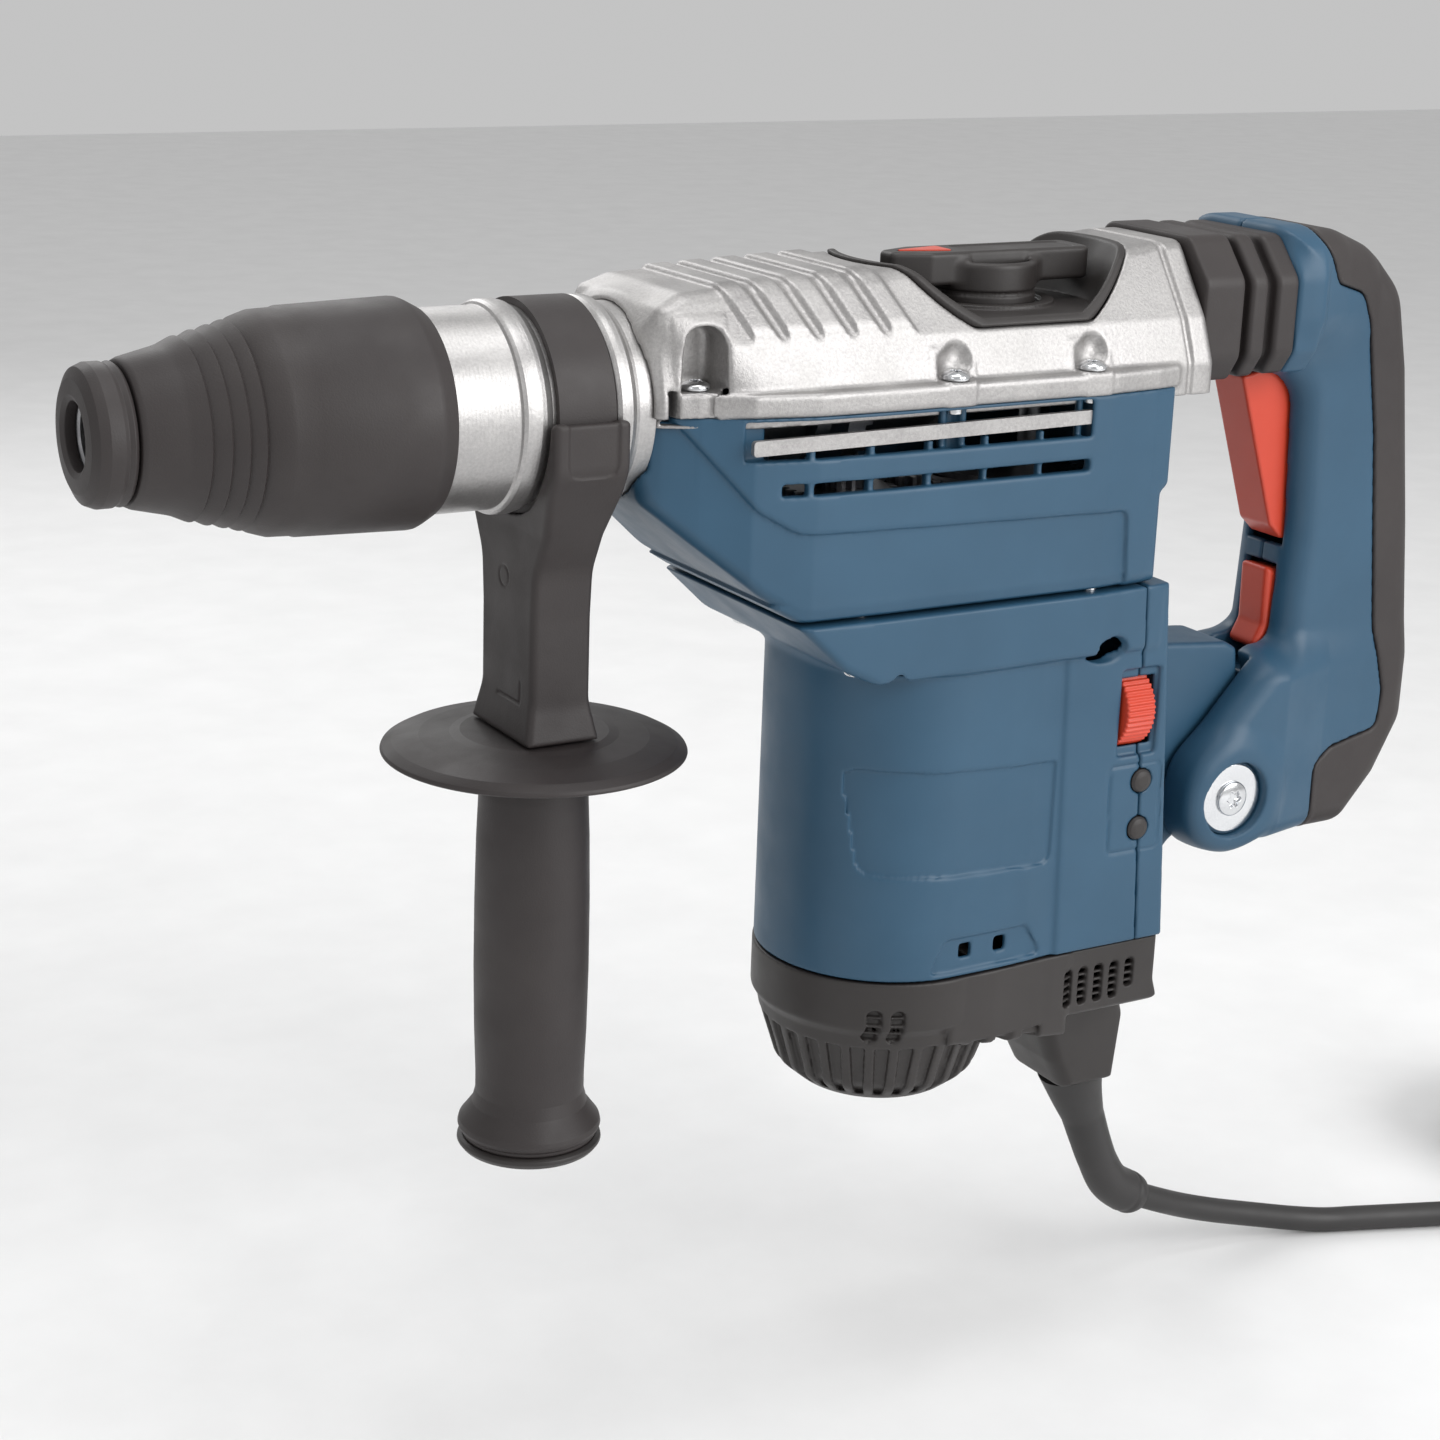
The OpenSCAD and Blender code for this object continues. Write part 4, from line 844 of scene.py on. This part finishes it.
# ---------- bellows and rear handle ----------
def make_bellows():
    g = Grid((348, -34, -5), (391, 34, 44), 0.55)

    def sleeve(half, t, x0, x1, r=1.2):
        section = rounded(mirrored([(half - 11 - t, 42 - t, 6), (half - t, 29 - t, 6),
                                    (half - t, 5, 6), (half - 5 - t, -3 + t, 3)]))
        return g.end(section, x0, x1, r)

    field = join(sleeve(31.5, 0, 350.3, 366), sleeve(28.6, 2.5, 355, 389.4), 1.2)
    field = join(field, sleeve(31.3, 0.4, 369.4, 376.4, 2), 2)
    field = join(field, sleeve(31.0, 0.6, 380.4, 389.4, 2), 2)
    field = cut(field, sleeve(26, 5, 340, 400))
    g.piece("bellows_sleeve", field, "soft_black", "tool", "bellows")


HANDLE_OUTLINE = rounded([
    (390, 42, 1), (414, 41.5, 30), (436, 34, 24), (450, 20, 20), (456, -6, 30), (464, -60, 60),
    (470, -108, 24), (470, -131, 14), (459, -151, 12), (444, -167, 10), (384, -165, 14),
    (366, -158, 12), (366, -134, 14), (388, -110, 12), (398, -99, 10), (409, -98, 8),
    (411, -60, 40), (408, -12, 14), (398, -4, 4), (390, -3, 0)], 8)
# The blue shells reach back to this line, and the soft pad covers what is behind it
PAD_LINE = rounded([
    (398, 60, 0), (401, 40, 4), (411, 25, 6), (427, 20.5, 8), (433, 10, 12), (440, -27, 40),
    (444, -59, 40), (449, -98, 24), (455, -119, 8), (454, -132, 5), (432, -136, 6),
    (424, -142, 6), (425, -180, 0), (500, -180, 0), (500, 60, 0)], 8)


def handle_solid(g):
    """The whole rear handle: one rounded D, wide at its neck and cheeks and slim at the grip."""
    plate = outline_distance(HANDLE_OUTLINE, g.x, g.z)
    neck_w = np.interp(g.x, [385, 400, 418, 436, 480], [29.5, 29, 22, GRIP_HALF, GRIP_HALF])
    foot_w = np.interp(g.x, [360, 405, 428, 445, 480],
                       [CHEEK_HALF, CHEEK_HALF, 20, GRIP_HALF + 1.5, GRIP_HALF])
    up = np.clip((g.z + 6) / 22, 0, 1)
    up = up * up * (3 - 2 * up)
    down = np.clip((-92 - g.z) / 16, 0, 1)
    down = down * down * (3 - 2 * down)
    half = GRIP_HALF + (neck_w - GRIP_HALF) * up + (foot_w - GRIP_HALF) * down
    return meet(plate, (np.abs(g.y) - half) * 0.9, 9.5)


def handle_edges(g):
    """The neck's front rim and the cheeks' flat faces stay crisp."""
    rim = meet(g.end(rounded(mirrored([(17, 42, 7), (29.5, 29, 6), (29.5, 5, 5), (24, -3, 3)])),
                     390, 400, 1.2), -60 - g.z)
    cheek = g.across(PIVOT[0], PIVOT[1], -CHEEK_HALF, CHEEK_HALF, 18.2, 3)
    return rim, cheek


def make_handle():
    g = Grid((362, -33, -171), (474, 33, 46), 0.75)
    rim, cheek = handle_edges(g)
    solid = join(join(handle_solid(g), rim, 6), cheek, 8)
    pad_side = outline_distance(PAD_LINE, g.x, g.z)
    hollow = meet(solid + 3.4, outline_distance(rounded([
        (408, 16, 4), (430, 16, 4), (437, -20, 20), (443, -60, 20), (449, -104, 6),
        (418, -104, 4), (405, -60, 10)]), g.x, g.z))
    shell = meet(solid, -pad_side, 0.5)
    shell = cut(shell, meet(hollow, g.span(g.y, -30, 30)))
    shell = cut(shell, g.side(rectangle(380, 416, -65.4, -4), -8.8, 8.8), 0.6)
    shell = cut(shell, g.side(rectangle(380, 430, -108, -72), -7.5, 7.5), 0.6)
    mouth = g.end(rounded(mirrored([(14, 36, 5), (25, 28, 5), (25, 6, 5), (20, 1, 3)])), 380, 397)
    shell = cut(shell, mouth, 0.6)
    fork = g.side(rounded([(350, -84, 0), (393, -90, 0), (397.5, -104, 4), (402, -118, 12),
                           (404, -134, 10), (404, -180, 0), (350, -190, 0)]), -14.3, 14.3)
    shell = cut(shell, fork, 1)
    shell = cut(shell, g.across(PIVOT[0], PIVOT[1], -50, 50, 8.1))
    for side in SIDES:
        lo, hi = sorted((side * 23.7, side * 40))
        shell = cut(shell, g.across(PIVOT[0], PIVOT[1], lo, hi, 13.1), 0.6)
    left = meet(shell, g.y + 0.15, 0.4)
    right = meet(shell, 0.15 - g.y, 0.4)
    g.piece("handle_left_shell", left, "housing_blue", "rear_handle", "handle_left")
    g.piece("handle_right_shell", right, "housing_blue", "rear_handle", "handle_right")
    pad = meet(solid - 0.35, pad_side + 0.35, 0.9)
    pad = cut(pad, meet(solid + 5, pad_side + 8))
    g.piece("handle_pad_skin", pad, "soft_black", "rear_handle", "handle_pad")


def make_trigger():
    g = Grid((385, -13, -67), (427, 13, 2), 0.45)
    outline = rounded([(388.5, -6.5, 1), (396, -5, 1), (424, -5, 1), (424, -12, 1), (419, -59, 2),
                       (412, -63.5, 1.5), (406, -58, 3)])
    field = g.side(outline, -8, 8, 1.0)
    field = join(field, g.across(420, -9, -11.5, 11.5, 2.45))
    g.piece("trigger_lever", field, "orange_plastic", "trigger_body", "trigger")


def make_lock_button():
    g = Grid((400, -9, -109), (424, 9, -70), 0.4)
    outline = rounded([(407.5, -73, 1.5), (419, -75, 1), (421, -98, 3), (417, -106, 2),
                       (404, -100.5, 2.5), (408, -93, 4)])
    g.piece("lock_button_slide", g.side(outline, -7, 7, 2), "orange_plastic", "lock", "lock_button")


# ---------- side handle ----------
def make_side_yoke():
    g = Grid((SIDE_X - 14, -37, -99), (SIDE_X + 14, 37, 3), 0.5)
    face = rounded(mirrored([(34.3, 0.5, 1.5), (34.3, -14, 10), (18, -46, 16), (17, -60, 20),
                             (17, -86, 16), (19.5, -97, 0)]))
    flank = rounded([(SIDE_X + v, w, r) for v, w, r in mirrored(
        [(12, 2, 1), (12, -20, 6), (9.6, -34, 14), (9.6, -84, 14), (12, -97, 0)])])
    solid = meet(g.end(face, SIDE_X - 20, SIDE_X + 20), g.side(flank, -60, 60), 2.2)
    tab = rounded([(SIDE_X - 7.5, 4, 0), (SIDE_X + 8, 4, 0), (SIDE_X + 8, -15, 4),
                   (SIDE_X - 7.5, -15, 4)])
    for side in SIDES:
        solid = cut(solid, np.maximum(g.flank(tab, side, 22, 60), -(solid + 0.6)), 0.4)
    front = SIDE_X - 8.6
    ring = meet(np.abs(np.hypot(g.y - 2, g.z + 50) - 3) - 0.35, g.x - front)
    mark = np.minimum(g.end(rectangle(-9.5, -8.7, -86, -79), 100, front),
                      g.end(rectangle(-9.5, 5, -86, -85.2), 100, front))
    solid = cut(solid, np.maximum(np.minimum(ring, mark), -(solid + 0.5)), 0.2)
    solid = cut(solid, g.lengthwise(100, 170, 0, 0, 30.7), 0.6)
    solid = cut(solid, g.upright(SIDE_X, 0, -110, -20, 4.1))
    solid = cut(solid, g.side(rectangle(SIDE_X - 9, SIDE_X + 9, -36, -26), -4.2, 4.2))
    solid = meet(solid, -97 - g.z)
    g.piece("side_yoke_arm", solid, "soft_black", "side_handle", "side_yoke")


def make_side_handle():
    disc = [(4.1, -97), (22, -97), (25, -97.7), (34, -98.5), (42, -100.2), (45, -101.8),
            (45.5, -102.9), (44.6, -103.5), (42, -102.9), (36, -101.4), (24, -100.2),
            (16, -100.6), (14.5, -101.6), (14.5, -103), (4.1, -103)]
    lathe("guard_disc_plate", softened(disc, 0.6), "z", (SIDE_X, 0, 0), "soft_black",
          "side_handle", "guard_disc")
    grip = [(4.3, -103.2), (13.6, -103.2), (14.6, -104.2), (14.6, -107.5), (15.6, -110),
            (16.3, -116), (16.9, -130), (17.3, -150), (17.4, -172), (17.1, -192), (16.6, -206),
            (16.6, -212), (17.6, -216), (20.2, -219.6), (21.6, -221.4), (22, -223), (21.4, -224.4),
            (20.6, -224.9), (20.6, -226.5), (0, -226.5), (0, -152), (4.3, -152)]
    lathe("side_grip_tube", softened(grip, 0.8), "z", (SIDE_X, 0, 0), "soft_black",
          "side_grip_body", "side_grip")
    cap = [(0, -226.5), (20.8, -226.5), (22, -227.2), (22.2, -228.2), (21, -229.8), (17, -230.8),
           (0, -231)]
    lathe("grip_end_disc", softened(cap, 0.5), "z", (SIDE_X, 0, 0), "black_plastic",
          "side_grip_body", "grip_end_cap")


# ---------- nose and neck ----------
def make_nose():
    nose = [(9.4, 0.8), (11, 0), (15.2, 0.3), (18.2, 1.8), (19.3, 4.4), (19.3, 8.2), (18.7, 9.4),
            (19.3, 10.8), (18.6, 11.8), (17.5, 12), (13, 12), (13, 4), (9.4, 4)]
    lathe("nose_cap_ring", softened(nose, 0.4), "x", (0, 0, 0), "soft_black", "spindle", "nose_cap")
    ridge = []
    for r, x in ((24.6, 29.2), (25.9, 34.1), (27.0, 38.6), (28.1, 42.8)):
        ridge += [(r, x - 0.3), (r + 0.15, x + 0.1), (r - 0.75, x + 0.9)]
    outer = [(18.9, 12.5), (19.5, 12.8), (20.2, 14.2), (22.4, 23.6), (22.9, 25.2), *ridge,
             (29.2, 46.2), (30.3, 49.6), (30.6, 50.6), (30.9, 57.6), (31.3, 58.4), (32.3, 90.6),
             (32.2, 91.6), (31.7, 92.8), (29.9, 96.2), (29.5, 96.8), (29.3, 97)]
    inner = [(29.25, 97), (29.25, 60), (26, 58), (15.55, 58), (15.55, 36), (21, 34), (19.5, 24),
             (15.55, 22), (15.55, 12.6)]
    lathe("locking_sleeve_grip", outer + inner, "x", (0, 0, 0), "soft_black", "chuck_sleeve",
          "locking_sleeve", segments=192)
    neck = [(24.5, 93), (28.2, 93), (28.7, 93.8), (28.7, 116), (29.6, 116.4), (30.2, 117.4),
            (30.3, 119), (30.3, 121.6), (29.9, 123.2), (29.0, 124.6), (28.4, 125.6), (28.4, 144.6),
            (29.4, 145.2), (30.2, 146.4), (30.3, 148), (30.1, 149.8), (29.2, 151), (28.4, 151.8),
            (28.1, 153), (28.1, 158.3), (24.5, 158.3)]
    lathe("front_neck_tube", softened(neck, 0.3), "x", (0, 0, 0), "machined_alloy", "tool",
          "front_neck", segments=192)


# ---------- screws ----------
def move_from_origin(piece, at, turn):
    """Turns a piece that was built at the nose tip and takes it to the point at."""
    piece.data.transform(
        Matrix.Translation(place(*at)) @ turn @ Matrix.Translation(-place(0, 0, 0)))


def screw(name, at, axis, radius, height, paint, body, *stands_for, dome, shank):
    """A pan head with a star recess and a shank, its face looking along axis from the point at."""
    reach = radius + 1
    g = Grid((-reach, -reach, -shank - 0.6), (reach, reach, height + 1), 0.22)
    across = np.hypot(g.x, g.y)
    top = height - dome * (across / radius) ** 2
    field = meet(across - radius, np.maximum(g.z - top, -g.z), 0.5)
    star = across - (radius * 0.42 + radius * 0.09 * np.cos(6 * np.arctan2(g.y, g.x)))
    field = cut(field, np.maximum(star, height * 0.35 - g.z), 0.15)
    field = join(field, g.upright(0, 0, -shank, 0.4, 2.4))
    piece = g.piece(name, field, paint, body, *stands_for)
    angle = {"z": 0, "-y": math.pi / 2, "y": -math.pi / 2, "-z": math.pi}[axis]
    move_from_origin(piece, at, Matrix.Rotation(angle, 4, "X"))


def make_screws():
    for i, ((x, y), side) in enumerate((s, side) for s in FLANGE_SCREWS for side in SIDES):
        stands_for = ["housing_screws"] if i == 0 else []
        screw(f"housing_screw_{i + 1}", (x, side * y, FLANGE_TOP + 0.4), "z", 4.3, 3.0,
                   "zinc_steel", "tool", *stands_for, dome=1.6, shank=18 if x < 200 else 10)
    for i, ((x, y), side) in enumerate((s, side) for s in SEAM_SCREWS for side in SIDES):
        stands_for = ["seam_screws"] if i == 0 else []
        screw(f"seam_screw_{i + 1}", (x, side * y, -80.5), "-z", 3.8, 2.6,
                   "zinc_steel", "tool", *stands_for, dome=1.2, shank=18)
    for i, side in enumerate(SIDES):
        axis = "y" if side > 0 else "-y"
        stands_for = ["pivot_screws"] if i == 0 else []
        washer = softened([(3, 0), (12.7, 0), (12.7, 1.5), (11.6, 2.1), (3, 2.1)], 0.4)
        if side < 0:
            washer = [(r, -h) for r, h in washer]
        lathe(f"pivot_washer_{i + 1}", washer, "y", (PIVOT[0], side * 23.8, PIVOT[1]),
              "zinc_steel", "tool", *stands_for, segments=96)
        screw(f"pivot_screw_{i + 1}", (PIVOT[0], side * 25.7, PIVOT[1]), axis, 6.0, 2.2,
                   "zinc_steel", "tool", dome=1.0, shank=19)


# ---------- the cord and its boot and plug ----------
def make_cord():
    route, turns, tail = cord_points()
    points = [*route[:-1], *turns, *tail]
    curve = bpy.data.curves.new("mains_cord", "CURVE")
    curve.dimensions = "3D"
    curve.bevel_depth = CORD_R / 1000
    curve.bevel_resolution = 6
    curve.use_fill_caps = True
    spline = curve.splines.new("POLY")
    spline.points.add(len(points) - 1)
    for target, p in zip(spline.points, points):
        target.co = (*place(*p), 1)
    piece = linked("mains_cord", curve)
    curve.materials.append(PAINTS["cord_rubber"])
    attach(piece, "tool")
    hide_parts("cord", "cord_coil")
    length = sum(np.linalg.norm(np.array(b) - np.array(a)) for a, b in zip(points, points[1:]))
    return piece, length / 1000


def make_boot():
    route = smooth_route(BOOT_ROUTE, 10)
    count = len(route)
    at = np.linspace(0, 1, count)
    radii = np.interp(at, np.linspace(0, 1, len(BOOT_RADII)), BOOT_RADII)
    for i, t in enumerate(at):
        if t > 0.9:
            radii[i] = 7.8 - 1.2 * ((t - 0.9) / 0.1) ** 2
    sweep("strain_relief_boot", route, list(radii), "cord_rubber", "tool", "strain_relief",
          sides=48, ridge=lambda a: 0.5 * max(0.0, math.cos(a)) ** 24)


def make_plug():
    g = Grid((-2, -15, -1), (56, 15, 16), 0.45)
    outline = rounded(mirrored_plan([(0, -5, 1), (8, -6, 4), (14, -12, 5), (32, -13, 6),
                                     (36, -11, 2)]))
    body = g.top(outline, 0, 14, 3.4)
    for i in range(4):
        x = 16.5 + 4 * i
        body = cut(body, meet(g.span(g.x, x, x + 1.6), -(body + 0.8)), 0.3)
    piece = g.piece("mains_plug", body, "cord_rubber", "tool", "plug")
    at = (636, -11, FLOOR_Z + COIL_LAYERS * 2 * CORD_R)
    turn = Matrix.Rotation(math.radians(104), 4, "Z")
    move_from_origin(piece, at, turn)
    pins = Grid((33, -9, 2), (56, 9, 12), 0.35)
    blades = np.minimum(pins.top(rectangle(35, 53, -7.15, -5.65, 0.6), 4, 10.5, 0.4),
                        pins.top(rectangle(35, 53, 5.65, 7.15, 0.6), 4, 10.5, 0.4))
    blades = cut(blades, pins.across(49, 7.2, -10, 10, 1.5))
    blade_piece = pins.piece("plug_blades", blades, "zinc_steel", "tool")
    move_from_origin(blade_piece, at, turn)
    return piece, blade_piece


# ---------- light and floor ----------
def add_light(name, at, aim, size, power, size_y=None):
    data = bpy.data.lights.new(name, "AREA")
    data.shape = "RECTANGLE"
    data.size = size
    data.size_y = size_y or size
    data.energy = power
    light = linked(name, data)
    light.location = at
    light.rotation_euler = (Vector(aim) - Vector(at)).to_track_quat("-Z", "Y").to_euler()


def add_studio():
    bpy.context.scene.view_settings.view_transform = "Standard"
    world = bpy.data.worlds.new("studio")
    world.use_nodes = True
    world.node_tree.nodes["Background"].inputs["Color"].default_value = (1, 1, 1, 1)
    world.node_tree.nodes["Background"].inputs["Strength"].default_value = 0.55
    bpy.context.scene.world = world
    middle = (-0.2, 0, -0.03)
    add_light("key", (0.55, -1.45, 0.75), middle, 1.4, 24)
    add_light("top", (-0.2, -0.1, 1.5), middle, 1.2, 9, 0.8)
    add_light("side", (-1.3, -0.6, 0.5), middle, 0.5, 1.2)
    add_light("rim", (-0.2, 1.3, 0.8), middle, 0.9, 6)
    mesh = bpy.data.meshes.new("floor")
    z = (FLOOR_Z + GRIP_DROP) / 1000
    mesh.from_pydata([(-4, -4, z), (4, -4, z), (4, 4, z), (-4, 4, z)], [], [(0, 1, 2, 3)])
    floor = linked("floor", mesh)
    paint = moulded("floor_paint", (0.80, 0.80, 0.80), (0.84, 0.84, 0.84), (0.7, 0.85))
    mesh.materials.append(paint)


add_camera()
cord, cord_length = make_cord()
paint_cad_nodes()
plug, blades = make_plug()
make_boot()
make_nose()
make_gear_housing()
make_knob_dish()
make_mode_knob()
make_gear_cover()
make_motor_housing()
make_rear_cover()
make_speed_dial()
make_indicator_lights()
make_motor_cap()
make_bellows()
make_handle()
make_trigger()
make_lock_button()
make_side_yoke()
make_side_handle()
make_screws()
add_studio()
